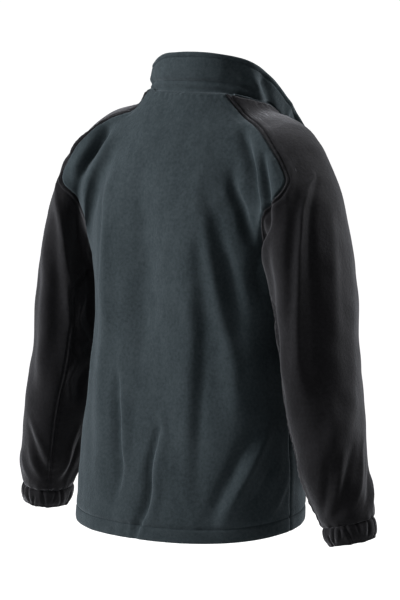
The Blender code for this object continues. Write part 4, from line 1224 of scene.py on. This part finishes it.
collarLook = {
    "top": [  # the top edge from the right front corner round the back to the left front corner
        (-93, -138, -70), (-94, -112, -44), (-99, -75, -12), (-102, -30, 22), (-99, 20, 48), (-60, 62, 61),
        (0, 75, 61), (26, 72, 58), (52, 60, 47), (78, 30, 30), (90, -20, 4), (90, -65, -26),
        (86, -105, -56), (84, -130, -77),
    ],
    "rollShape": [  # height share, outward share, downward share
        (0.0, 0.0, 0.0), (0.03, 0.7, 0.75), (0.07, 1.05, 1.0), (0.12, 1.05, 0.85), (0.17, 0.72, 0.6),
        (0.23, 0.36, 0.4), (0.32, 0.26, 0.28), (0.6, 0.18, 0.1), (0.85, 0.05, 0.0), (1.0, 0.0, 0.0),
    ],
    "roll": [  # share round the collar, outward and downward reach of the roll over the neck seam
        (0.0, 0.5, 0.0), (0.12, 3.0, 2.0), (0.2, 8.0, 9.0), (0.25, 11.0, 12.0), (0.29, 9.0, 8.0),
        (0.34, 6.5, 3.0), (0.4, 6.0, 1.2), (0.58, 6.0, 1.2), (0.63, 7.0, 5.0), (0.67, 9.5, 10.0),
        (0.71, 12.0, 12.0), (0.76, 11.0, 10.0), (0.82, 6.0, 6.0), (0.9, 3.0, 2.0), (1.0, 0.5, 0.0),
    ],
    "spacing": 2.0,
    "rows": 34,
    "rowPower": 1.25,
    "edgeRows": (0.006, 0.985),
    "smoothing": 14,
    "turnSmoothing": 20,
    "wall": 2.8,
    "stitch": 7.0,
    "stitchDepth": 0.9,
    "stitchWidth": 1.4,
    "edgePuff": (0.6, 0, 2, 4.5, 7),  # height, then steps from the top edge
    "softShare": 0.6,
    "liftFrom": 0.14,
    "creaseSteepness": 1.2,
    "creases": [  # marks are share round the collar, share of its height; then half width, height
        ([(0.262, 0.1), (0.276, 0.22), (0.288, 0.38), (0.302, 0.54)], 11, 5.0),
        ([(0.222, 0.12), (0.234, 0.3), (0.248, 0.46), (0.262, 0.62)], 14, -6.0),
        ([(0.310, 0.4), (0.328, 0.5), (0.35, 0.62), (0.37, 0.8)], 12, -1.6),
        ([(0.30, 0.34), (0.35, 0.3), (0.42, 0.27), (0.5, 0.26), (0.6, 0.27), (0.68, 0.34)], 5.0, -4.4),
        ([(0.33, 0.5), (0.345, 0.7), (0.34, 0.9)], 12, -2.0),
        ([(0.40, 0.5), (0.47, 0.62), (0.55, 0.56)], 14, 1.6),
        ([(0.64, 0.4), (0.65, 0.6), (0.64, 0.85)], 10, 2.2),
        ([(0.715, 0.1), (0.71, 0.45), (0.72, 0.8)], 9, -4.0),
        ([(0.76, 0.1), (0.765, 0.4), (0.76, 0.75)], 9, 2.6),
        ([(0.12, 0.2), (0.13, 0.5), (0.12, 0.85)], 9, 2.4),
        ([(0.07, 0.2), (0.06, 0.5), (0.08, 0.85)], 9, -1.8),
        ([(0.86, 0.2), (0.85, 0.5), (0.87, 0.8)], 9, 2.4),
        ([(0.93, 0.2), (0.94, 0.5), (0.92, 0.8)], 9, -1.8),
    ],
}


def smoothed(line, rounds):
    line = line.copy()
    for _ in range(rounds):
        line[1:-1] = (line[:-2] + 2 * line[1:-1] + line[2:]) / 4
    return line


def neckEdge():  # the pieces' top edges in one run, from the right front corner to the left one
    edges = [(frontCloth[-1], True), (sleeveCloth[-1], False), (backCloth, True), (sleeveCloth[1], True),
             (frontCloth[1], False)]
    line = np.concatenate([points[0][::-1] if turned else points[0] for (points, _), turned in edges])
    count = int(stepLengths(line).sum() / collarLook["spacing"])
    return smoothed(spaced(line, count), collarLook["smoothing"])


def makeCollar():
    look = collarLook
    neck = neckEdge()
    share = np.linspace(0, 1, len(neck))
    top = curveThrough(look["top"], len(neck) - 1)
    tangent = smoothed(np.gradient((neck + top) / 2, axis=0), look["turnSmoothing"])
    outward = unitRows(np.column_stack([tangent[:, 1], -tangent[:, 0], 0 * share]))
    heights = np.linspace(0, 1, look["rows"] + 1) ** look["rowPower"]
    heights = np.unique(np.round(np.concatenate([heights, look["edgeRows"]]), 4))
    out, down = readTable(look["rollShape"], heights)
    outReach, downReach = readTable(look["roll"], share)
    outer = neck + (top - neck) * heights[:, None, None]
    outer = outer + outward * (out[:, None] * outReach)[..., None]
    outer[..., 2] -= down[:, None] * downReach
    facing = (outer - outer.mean(axis=(0, 1))) * np.array([1.0, 1.0, 0.0])
    normals = gridNormals(outer, facing)
    tall = np.linalg.norm(top - neck, axis=1)
    runLength = stepLengths(neck).sum()
    lift = np.zeros(outer.shape[:2])
    for marks, halfWidth, height in look["creases"]:
        line = curveThrough(marks, 60)
        across = (share[None, :, None] - line[:, 0]) * runLength
        upward = (heights[:, None, None] - line[:, 1]) * tall[None, :, None]
        gap = np.sqrt(across**2 + upward**2).min(axis=2)
        lift += height * np.exp(-((gap / halfWidth) ** 2) * look["creaseSteepness"])
    fromTop = (1 - heights)[:, None] * tall[None]
    lift -= look["stitchDepth"] * bell(fromTop - look["stitch"], look["stitchWidth"])
    puff, *steps = look["edgePuff"]
    lift += puff * plateau(*steps, fromTop)
    lift += softHeights(outer.reshape(-1, 3)).reshape(lift.shape) * look["softShare"]
    lift *= smoothStep(0, look["liftFrom"], heights)[:, None]
    outer = outer + normals * lift[..., None]
    normals = gridNormals(outer, facing)
    inner = insetGrid(outer - normals * look["wall"], ("top",))
    outer = insetGrid(outer, ("top",))
    collar = place("standCollar", wallMesh("standCollar", outer, inner), slateFleece)
    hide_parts("collar")
    print("collar made with", len(collar.data.polygons), "faces")
    return outer, normals


collarCloth = makeCollar()


cuffLook = {
    "seamAlong": 658,
    "endAlong": 688,
    "steps": 300,
    "rows": 22,
    "wall": 2.8,
    "swell": 2.4,
    "swellRun": 1.15,  # the swell is over this much sooner than the cuff
    "swellPower": 0.7,
    "lumps": 0.9,
    "lumpRun": (0.15, 0.8),
    "seamDepth": 1.2,
    "endTaper": 2.6,
    "taperLength": 0.2,
    "edgeWave": 0.9,
    "lumpCounts": (5, 8, 12),
    "edgeCounts": (4, 7, 11),
    "creaseEnd": 0.12,
    "creasePower": 1.6,
    "creaseSwell": (0.35, 2.2, 1.3),  # height as a share of the depth, place and width in half widths
    "seamShare": 0.09,
    "taperFrom": 0.55,
    "creases": [  # degrees round, slant in degrees, half width, depth, start and end down the cuff
        (6, 8, 2.0, 1.7, 0.0, 0.7), (31, -6, 1.6, 1.2, 0.0, 0.5), (52, -12, 2.2, 2.6, -0.2, 1.2),
        (71, 5, 1.6, 1.2, 0.1, 0.6), (88, 9, 2.2, 2.0, -0.2, 0.8), (104, -5, 1.6, 1.4, 0.4, 1.2),
        (127, 8, 2.2, 2.2, -0.2, 1.2), (149, -7, 1.6, 1.3, 0.0, 0.6), (168, 6, 2.0, 2.0, -0.2, 0.9),
        (196, -9, 2.0, 1.8, 0.2, 1.2), (222, 5, 1.6, 1.3, 0.0, 0.5), (243, 10, 2.2, 2.2, -0.2, 1.2),
        (270, -6, 2.0, 1.6, 0.0, 0.7), (296, 8, 2.0, 2.0, -0.2, 1.2), (322, -5, 1.6, 1.4, 0.2, 0.8),
        (344, 6, 2.0, 1.9, -0.2, 1.2),
    ],
    "seed": 11,
}


def makeCuff(side):
    look = cuffLook
    rng = np.random.default_rng(look["seed"] + side)
    around = np.linspace(0, 2 * math.pi, look["steps"] + 1)
    slow = sum(
        rng.uniform(0.4, 1) * np.cos(around * count + rng.uniform(0, 6)) for count in look["lumpCounts"]
    ) / 2
    wave = sum(np.cos(around * count + rng.uniform(0, 6)) for count in look["edgeCounts"]) / 3
    swellHeight, swellAt, swellWidth = look["creaseSwell"]
    fade = look["creaseEnd"]
    rings = ([], [])
    for share in np.linspace(0, 1, look["rows"] + 1):
        along = look["seamAlong"] + panels["seamGap"]
        along += (look["endAlong"] - along) * share
        middle, direction, sideAxis, depthAxis, halfWidth, halfDepth = sleeveFrame(np.array([along]))
        puff = look["swell"] * math.sin(math.pi * min(share * look["swellRun"], 1)) ** look["swellPower"]
        start, run = look["lumpRun"]
        puff += look["lumps"] * slow * math.sin(math.pi * (start + run * share))
        for degrees, slant, halfGap, depth, start, end in look["creases"]:
            middleAngle = math.radians(degrees + slant * (share - 0.5))
            gap = np.abs(np.angle(np.exp(1j * (around - middleAngle)))) * halfWidth[0]
            strength = plateau(start - fade, start + fade, end - fade, end + fade, share)
            puff = puff - depth * strength * np.exp(-((gap / halfGap) ** look["creasePower"]))
            swell = bell(gap - swellAt * halfGap, swellWidth * halfGap)
            puff = puff + swellHeight * depth * strength * swell
        puff = puff - look["seamDepth"] * math.exp(-((share / look["seamShare"]) ** 2))
        puff = puff - look["endTaper"] * max(0.0, share - look["taperFrom"]) ** 2 / look["taperLength"]
        for found, wall in zip(rings, (0.0, look["wall"])):
            sideways = np.cos(around) * (halfWidth[0] + puff - wall)
            deep = np.sin(around) * (halfDepth[0] + puff - wall)
            ring = middle[0] + np.outer(sideways, sideAxis[0]) + np.outer(deep, depthAxis[0])
            ring = ring + direction[0] * (wave * look["edgeWave"] * share**2)[:, None]
            found.append(onSide(ring, side))
    name = "cuff" + sideNames[side]
    cuff = place(name, wallMesh(name, np.array(rings[0]), np.array(rings[1]), 0), blackFleece)
    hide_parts("cuff_left" if side == 1 else "cuff_right")


for side in sideNames:
    makeCuff(side)
print("cuffs made")


def zipPath(side):  # the line up a front and the collar's end, with its directions
    points, normals = frontCloth[side]
    collarPoints, collarNormals = collarCloth
    column = -1 if side == 1 else 0
    innerColumn = -4 if side == 1 else 3
    edge = np.concatenate([points[::-1, -1], collarPoints[1:, column]])
    inner = np.concatenate([points[::-1, -4], collarPoints[1:, innerColumn]])
    facing = np.concatenate([normals[::-1, -1], collarNormals[1:, column]])
    inner = edge + unitRows(inner - edge) * 4
    along = lengthsAlong(edge)
    count = int(stepLengths(edge).sum() / zipLook["toothPitch"])
    stations = np.linspace(0, along[-1], count + 1)
    edge, inner, facing = (
        smoothed(atStations(line, along, stations), zipLook["pathSmoothing"])
        for line in (edge, inner, facing)
    )
    tangent = tangents(edge)
    outward = squareTo(edge - inner, tangent)
    return edge, outward, squareTo(facing, outward), tangent


teethReach = zipLook["edge"] - panels["seamGap"] / 2 - zipLook["teethWidth"]


def makeTape(side, edge, outward, facing):
    look = zipLook
    name = "zipTape" + sideNames[side]
    offs = np.linspace(look["tapeInside"], teethReach + look["tapePast"], look["tapeColumns"])
    outer, inner = (
        np.stack([edge + outward * off - facing * depth for off in offs], axis=1)
        for depth in (look["tapeFront"], look["tapeFront"] + look["tapeWall"])
    )
    tape = place(name, wallMesh(name, outer, inner), tapeWeave)
    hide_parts("zip_tape_left" if side == 1 else "zip_tape_right")


def makeTeeth(side, edge, outward, facing, tangent):
    look = zipLook
    name = "zipTeeth" + sideNames[side]
    half = look["toothPitch"] * look["toothWidth"]
    deep = look["toothHeight"] / 2
    sides = look["toothSides"]
    profile = []  # along, across, height round a tooth
    for across, halfAlong, halfUp in look["toothSections"]:
        for turn in range(sides):
            angle = (turn + 0.5) * 2 * math.pi / sides
            profile.append((
                half * halfAlong * np.clip(math.cos(angle) * look["toothCorner"], -1, 1), across,
                deep * halfUp * np.clip(math.sin(angle) * look["toothCorner"], -1, 1),
            ))
    middle = (look["teethFront"] + look["teethBack"]) / 2
    starts = edge + outward * teethReach - facing * middle
    starts = starts + tangent * (look["toothPitch"] * look["toothOffset"] * side)
    rings = len(look["toothSections"])
    faces = ringFaces(rings, sides)
    for ring, order in ((0, 1), (rings - 1, -1)):
        loop = [ring * sides + turn for turn in range(sides)][::order]
        for first in range(0, sides - 2, 2):
            faces.append((loop[0], loop[first + 1], loop[first + 2], loop[first + 3]))
    points = blockPoints(starts, tangent, outward, facing, profile)
    teeth = place(name, blocksMesh(name, points, faces), toothPlastic)
    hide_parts("zip_teeth_left" if side == 1 else "zip_teeth_right")


for side, path in {side: zipPath(side) for side in sideNames}.items():
    makeTape(side, *path[:3])
    makeTeeth(side, *path)
print("zip made")

sliderLook = {
    "plateFront": -119.96,
    "plateWall": 1.4,
    "rearFront": -114.36,
    "plateOutline": [  # height, half width
        (-232.0, 2.9), (-231.4, 3.7), (-229.5, 4.3), (-226.0, 4.4), (-222.5, 4.6), (-219.5, 5.0),
        (-217.6, 4.9), (-216.9, 4.3), (-216.5, 3.2),
    ],
    "plateSteps": (32, 21),  # down, across
    "crown": 0.35,
    "barSides": 16,
    "barSquareness": 0.6,
    "post": (-218.9, 1.4, 1.7),  # height, half width, half height
    "bail": [  # depth, height along the middle of the bail
        (-119.2, -222.4), (-121.6, -222.4), (-122.8, -222.7), (-123.46, -223.6), (-123.46, -225.0),
        (-123.46, -226.4), (-122.8, -227.3), (-121.6, -227.6), (-119.2, -227.6),
    ],
    "bailSteps": 40,
    "bailHalfWidth": 0.9,
    "bailHalfWall": 0.58,
    "pivotDepth": -121.5576,
    "pullOutline": [  # half width, height down one side
        (0.0, -224.15), (1.8, -224.2), (2.6, -224.6), (2.85, -225.4), (2.85, -229.0), (2.5, -232.0),
        (2.3, -236.0), (2.5, -241.0), (2.85, -246.0), (2.85, -249.0), (2.3, -250.9), (1.2, -251.8),
        (0.0, -252.0),
    ],
    "outlineSteps": 60,
    "edgeRings": (0, 0.06, 0.15, 0.28, 0.45, 0.7, 0.95, 1.2),  # how far from an edge the rings lie
    "edgeRoom": 2.8,  # where the pull is narrower than this, they lie closer
    "middleRings": 8,
    "pullEye": (-227.65, 1.4, 1.85),  # height, half width, half height
    "pullHalfWall": 0.72,
    "pullEdge": 0.35,
    "pullRound": 0.8,
    "pullRecess": 0.24,
    "pullRim": (0.75, 1.0),
    "recessStart": (230.6, 231.6),  # below the neck seam
}


def joinedMesh(name, parts):
    shape = bmesh.new()
    for part in parts:
        shape.from_mesh(part)
        bpy.data.meshes.remove(part)
    bmesh.ops.recalc_face_normals(shape, faces=shape.faces)
    data = bpy.data.meshes.new(name)
    shape.to_mesh(data)
    shape.free()
    data.shade_smooth()
    return data


def sliderPlate(front, back, crown):
    outline = sliderLook["plateOutline"]
    low, high = outline[0][0], outline[-1][0]
    down, around = sliderLook["plateSteps"]
    heights = np.linspace(low, high, down)
    halfWidth = readTable(outline, heights)[0]
    share = np.sin(np.linspace(-math.pi / 2, math.pi / 2, around))
    across = halfWidth[:, None] * share
    level = np.broadcast_to(heights[:, None], across.shape)
    ends = np.abs(heights - (low + high) / 2) / ((high - low) / 2)
    fall = crown * (np.abs(share)[None] ** 3 + ends[:, None] ** 6)
    outer = np.stack([across, front + fall, level], axis=-1)
    inner = np.stack([across, np.full(across.shape, back), level], axis=-1)
    return wallMesh("sliderPlate", outer, inner)


def squared(wave):  # a circle's sine or cosine, pushed out towards a square
    return np.sign(wave) * np.abs(wave) ** sliderLook["barSquareness"]


def barMesh(path, halfAcross, halfWall):  # a rounded bar along a path in the middle plane
    sides = sliderLook["barSides"]
    path = np.array(path, float)
    across = np.array([1.0, 0.0, 0.0])
    up = np.cross(tangents(path), across)
    angle = np.linspace(0, 2 * math.pi, sides + 1)[:-1]
    side = squared(np.cos(angle)) * halfAcross
    rise = squared(np.sin(angle)) * halfWall
    points = path[:, None] + side[None, :, None] * across + rise[None, :, None] * up[:, None]
    faces = ringFaces(len(path), sides)
    for first in (0, (len(path) - 1) * sides):
        last = first + sides - 1
        for turn in range(sides // 2 - 1):
            faces.append((first + turn, first + turn + 1, last - 1 - turn, last - turn))
    return meshFrom("bar", points.reshape(-1, 3), np.array(faces))


def makeSlider():
    look = sliderLook
    front = look["plateFront"]
    rear = look["rearFront"]
    wall = look["plateWall"]
    height, halfWidth, halfHeight = look["post"]
    post = [(0, depth, height) for depth in (front + wall / 2, (front + rear) / 2, rear + wall / 2)]
    bail = curveThrough([(0, depth, level) for depth, level in look["bail"]], look["bailSteps"])
    parts = [
        sliderPlate(front, front + wall, look["crown"]),
        sliderPlate(rear + wall, rear, -look["crown"]),
        barMesh(post, halfWidth, halfHeight),
        barMesh(bail, look["bailHalfWidth"], look["bailHalfWall"]),
    ]
    slider = place("zipSlider", joinedMesh("zipSlider", parts), sliderEnamel)
    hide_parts("zip_slider")


def makePull():  # rings of points from the eye out to the outline, on both faces
    look = sliderLook
    half = curveThrough([(across, 0, level) for across, level in look["pullOutline"]], look["outlineSteps"])
    outline = np.concatenate([half, onSide(half[-2:0:-1], -1)])[:, [0, 2]]
    level, eyeAcross, eyeTall = look["pullEye"]
    centre = np.array([0.0, level])
    ray = outline - centre
    length = np.linalg.norm(ray, axis=1)
    direction = ray / length[:, None]
    corner = (np.abs(direction[:, 0]) / eyeAcross) ** 3 + (np.abs(direction[:, 1]) / eyeTall) ** 3
    eye = 1 / corner ** (1 / 3)
    edge = np.array(look["edgeRings"])
    squeeze = np.minimum(1, (length - eye) / look["edgeRoom"])[:, None]
    near = eye[:, None] + edge * squeeze
    far = length[:, None] - edge[::-1] * squeeze
    share = np.linspace(0, 1, look["middleRings"])[1:-1]
    midway = near[:, -1:] + (far[:, :1] - near[:, -1:]) * share
    stations = np.concatenate([near, midway, far], axis=1).T
    flat = centre + stations[..., None] * direction[None]
    fromOutline = nearestRow(flat.reshape(-1, 2), outline)[1].reshape(stations.shape)
    fromEye = stations - eye
    rounding = np.clip(1 - np.minimum(fromOutline, fromEye) / look["pullEdge"], 0, 1)
    halfWall = look["pullHalfWall"]
    halfWall = halfWall - look["pullEdge"] * (1 - np.sqrt(1 - rounding**2 * look["pullRound"]))
    recess = smoothStep(*look["pullRim"], fromOutline) * smoothStep(*look["pullRim"], fromEye)
    halfWall -= look["pullRecess"] * recess * smoothStep(*look["recessStart"], -flat[..., 1])
    grids = []
    for turn in (-1, 1):
        grid = np.stack([flat[..., 0], look["pivotDepth"] + turn * halfWall, flat[..., 1]], axis=-1)
        grids.append(np.concatenate([grid, grid[:, :1]], axis=1))
    data = joinedMesh("zipPull", [wallMesh("pull", *grids, 0)])
    pull = place("zipPull", data, sliderEnamel, "zip_pull")
    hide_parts("zip_pull")


makeSlider()
makePull()
print("slider and pull made")

stitchLook = {
    "pitch": 3.2,
    "length": 2.5,
    "radius": 0.38,
    "rise": 0.22,
    "lookAhead": 0.8,
    "searchSteps": 60,  # a seam's stitches lie within this many points of its edge
    "sides": 6,
    "sections": [  # shares along, up and of the radius
        (-1.0, -0.5, 0.6), (-0.55, 0.7, 1.0), (0.55, 0.7, 1.0), (1.0, -0.5, 0.6),
    ],
    "raglanRows": (1.5, 6.0),
    "underarmRows": (-2.0, 2.6),
    "underarmRadius": 60.0,
    "underarmMarks": 220,
    "zipRow": 5.0,
}


def offsetLine(grid, normals, side, distance, start=0, stop=None):  # a line beside one edge of the cloth
    if side == "bottom":
        grid = np.moveaxis(grid, 1, 0)
        normals = np.moveaxis(normals, 1, 0)
    if side != "left":
        grid = grid[:, ::-1]
        normals = normals[:, ::-1]
    grid = grid[:, :stitchLook["searchSteps"]]
    line = []
    lineNormals = []
    for row in range(start, stop or len(grid)):
        along = lengthsAlong(grid[row])
        line.append([np.interp(distance, along, grid[row, :, axis]) for axis in range(3)])
        lineNormals.append(normals[row, np.searchsorted(along, distance)])
    return np.array(line), np.array(lineNormals)


def underarmRow(side, spread):  # a line beside the underarm seam
    fine = curveThrough(seamMarks["underarm"], stitchLook["underarmMarks"])
    turns = np.radians(fine[:, 1]) + spread / stitchLook["underarmRadius"]
    return clothed(onSide(settle(sleeveRing(fine[:, 0], turns)), side), sleeve=True)


def stitchPoints(line, lineNormals):
    look = stitchLook
    along = lengthsAlong(line)
    count = int(along[-1] / look["pitch"])
    stations = (np.arange(count) + 0.5) * along[-1] / count
    centre = atStations(line, along, stations)
    tangent = unitRows(atStations(line, along, stations + look["lookAhead"]) - centre)
    normal = squareTo(atStations(lineNormals, along, stations), tangent)
    shape = []
    for run, rise, size in look["sections"]:
        for turn in range(look["sides"]):
            angle = turn * 2 * math.pi / look["sides"]
            shape.append((
                run * look["length"] / 2, math.cos(angle) * look["radius"] * size,
                rise * look["rise"] + math.sin(angle) * look["radius"] * size,
            ))
    return blockPoints(centre, tangent, np.cross(tangent, normal), normal, shape)


def makeStitches(name, lines, material):
    sides = stitchLook["sides"]
    rings = len(stitchLook["sections"])
    points = np.concatenate([stitchPoints(*line) for line in lines])
    faces = [(first, fourth, third, second) for first, second, third, fourth in ringFaces(rings, sides)]
    end = (rings - 1) * sides
    faces += [(0, 1, 2, 3), (0, 3, 4, 5), (end, end + 3, end + 2, end + 1), (end, end + 5, end + 4, end + 3)]
    stitches = place(name, blocksMesh(name, points, faces), material)
    print(name, len(points), "stitches")


for side, label in sideNames.items():
    lines = [offsetLine(*sleeveCloth[side], edge, distance, 2, closedFrom)
             for edge in ("left", "right") for distance in stitchLook["raglanRows"]]
    lines += [underarmRow(side, spread) for spread in stitchLook["underarmRows"]]
    makeStitches("sleeveStitches" + label, lines, blackThread)
    lines = [offsetLine(*frontCloth[side], "right", stitchLook["zipRow"]),
             offsetLine(*frontCloth[side], "bottom", seamLook["hemStitch"])]
    makeStitches("frontStitches" + label, lines, slateThread)
lines = [offsetLine(*backCloth, "bottom", seamLook["hemStitch"]),
         offsetLine(*collarCloth, "bottom", collarLook["stitch"])]
makeStitches("backStitches", lines, slateThread)

studio = {
    "azimuth": 218.5,
    "elevation": 6.5,
    "distance": 6.0,
    "aim": (0.0, 0.018, -0.322),
    "lens": 156,
    "sensorHeight": 24,
    "clipEnd": 100,
    "floorHalfSize": 30.0,
    "floorHeight": -0.95,
    "floorRoughness": 0.9,
    "floorColour": (0.35, 0.35, 0.35),
    "floorGlow": 1.0,  # as the camera sees it
    "floorSpill": 0.3,  # as it lights the jacket
    "skyBase": 0.05,
    "skyLeft": 0.56,  # the studio's bright walls, on the camera's left and right
    "skyRight": 0.46,
    "skySidesFrom": 0.55,
    "skyTop": 0.08,
    "skyTilt": (1.4, 0.3),  # the walls are brighter higher up
    "strips": [  # azimuth from the camera, elevation, distance, width, height, power
        (-80, 28, 2.2, 0.8, 1.6, 82),
        (102, 48, 1.3, 0.5, 0.8, 19),
        (-40, 24, 3.0, 1.8, 1.8, 10),
    ],
}


def towards(azimuth, elevation):
    turn = math.radians(azimuth)
    rise = math.radians(elevation)
    return Vector((math.sin(turn) * math.cos(rise), -math.cos(turn) * math.cos(rise), math.sin(rise)))


def aimed(name, data, azimuth, elevation, distance):  # an object that looks at the jacket
    direction = towards(azimuth, elevation)
    made = newObject(name, data)
    made.location = Vector(studio["aim"]) + direction * distance
    made.rotation_euler = direction.to_track_quat("Z", "Y").to_euler()
    return made


def addCamera():
    data = bpy.data.cameras.new("camera")
    camera = aimed("camera", data, studio["azimuth"], studio["elevation"], studio["distance"])
    data.sensor_fit = "VERTICAL"
    data.sensor_height = studio["sensorHeight"]
    data.lens = studio["lens"]
    data.clip_end = studio["clipEnd"]
    bpy.context.scene.camera = camera


def addStrip(name, azimuth, elevation, distance, width, height, power):  # a tall soft light
    data = bpy.data.lights.new(name, "AREA")
    data.shape = "RECTANGLE"
    data.size = width
    data.size_y = height
    data.energy = power
    aimed(name, data, studio["azimuth"] + azimuth, elevation, distance)


def addFloor():
    size = studio["floorHalfSize"]
    corners = [(x * size, y * size, studio["floorHeight"]) for x, y in ((-1, -1), (1, -1), (1, 1), (-1, 1))]
    data = bpy.data.meshes.new("floor")
    data.from_pydata(corners, [], [(0, 1, 2, 3)])
    material, tree, shader = newMaterial("paleFloor")
    setInputs(shader, {
        "Base Color": (*studio["floorColour"], 1),
        "Roughness": studio["floorRoughness"],
        "Emission Color": (1, 1, 1, 1),
    })
    seen = tree.nodes.new("ShaderNodeLightPath").outputs["Is Camera Ray"]
    extra = studio["floorGlow"] - studio["floorSpill"]
    tree.links.new(scaledSum(tree, seen, extra, studio["floorSpill"]), shader.inputs["Emission Strength"])
    data.materials.append(material)
    newObject("floor", data)


def setWorld():  # a dim white sky with bright walls on two sides
    world = bpy.data.worlds.new("studioSky")
    world.use_nodes = True
    tree = world.node_tree
    background = tree.nodes["Background"]
    setInputs(background, {"Color": (1, 1, 1, 1)})
    direction = tree.nodes.new("ShaderNodeTexCoord").outputs["Generated"]
    turn = math.radians(studio["azimuth"])
    sideways = tree.nodes.new("ShaderNodeVectorMath")
    sideways.operation = "DOT_PRODUCT"
    sideways.inputs[1].default_value = (math.cos(turn), math.sin(turn), 0)
    tree.links.new(direction, sideways.inputs[0])
    walls = tree.nodes.new("ShaderNodeMapRange")
    walls.interpolation_type = "SMOOTHSTEP"
    setInputs(walls, {"From Min": studio["skySidesFrom"]})
    tree.links.new(mathNode(tree, "ABSOLUTE", sideways.outputs["Value"], 0), walls.inputs["Value"])
    parts = tree.nodes.new("ShaderNodeSeparateXYZ")
    tree.links.new(direction, parts.inputs[0])
    onRight = mathNode(tree, "GREATER_THAN", sideways.outputs["Value"], 0.0)
    bright = scaledSum(tree, onRight, studio["skyRight"] - studio["skyLeft"], studio["skyLeft"])
    lifted = scaledSum(tree, parts.outputs["Z"], *studio["skyTilt"])
    sides = mathNode(tree, "MULTIPLY", mathNode(tree, "MULTIPLY", walls.outputs["Result"], bright), lifted)
    above = mathNode(tree, "MULTIPLY", mathNode(tree, "MAXIMUM", parts.outputs["Z"], 0.0), studio["skyTop"])
    strength = mathNode(tree, "ADD", mathNode(tree, "ADD", sides, above), studio["skyBase"])
    tree.links.new(strength, background.inputs["Strength"])
    bpy.context.scene.world = world
    bpy.context.scene.view_settings.view_transform = "Standard"  # keeps the ground white


addCamera()
for number, strip in enumerate(studio["strips"], 1):
    addStrip("strip" + str(number), *strip)
addFloor()
setWorld()
print("studio set")
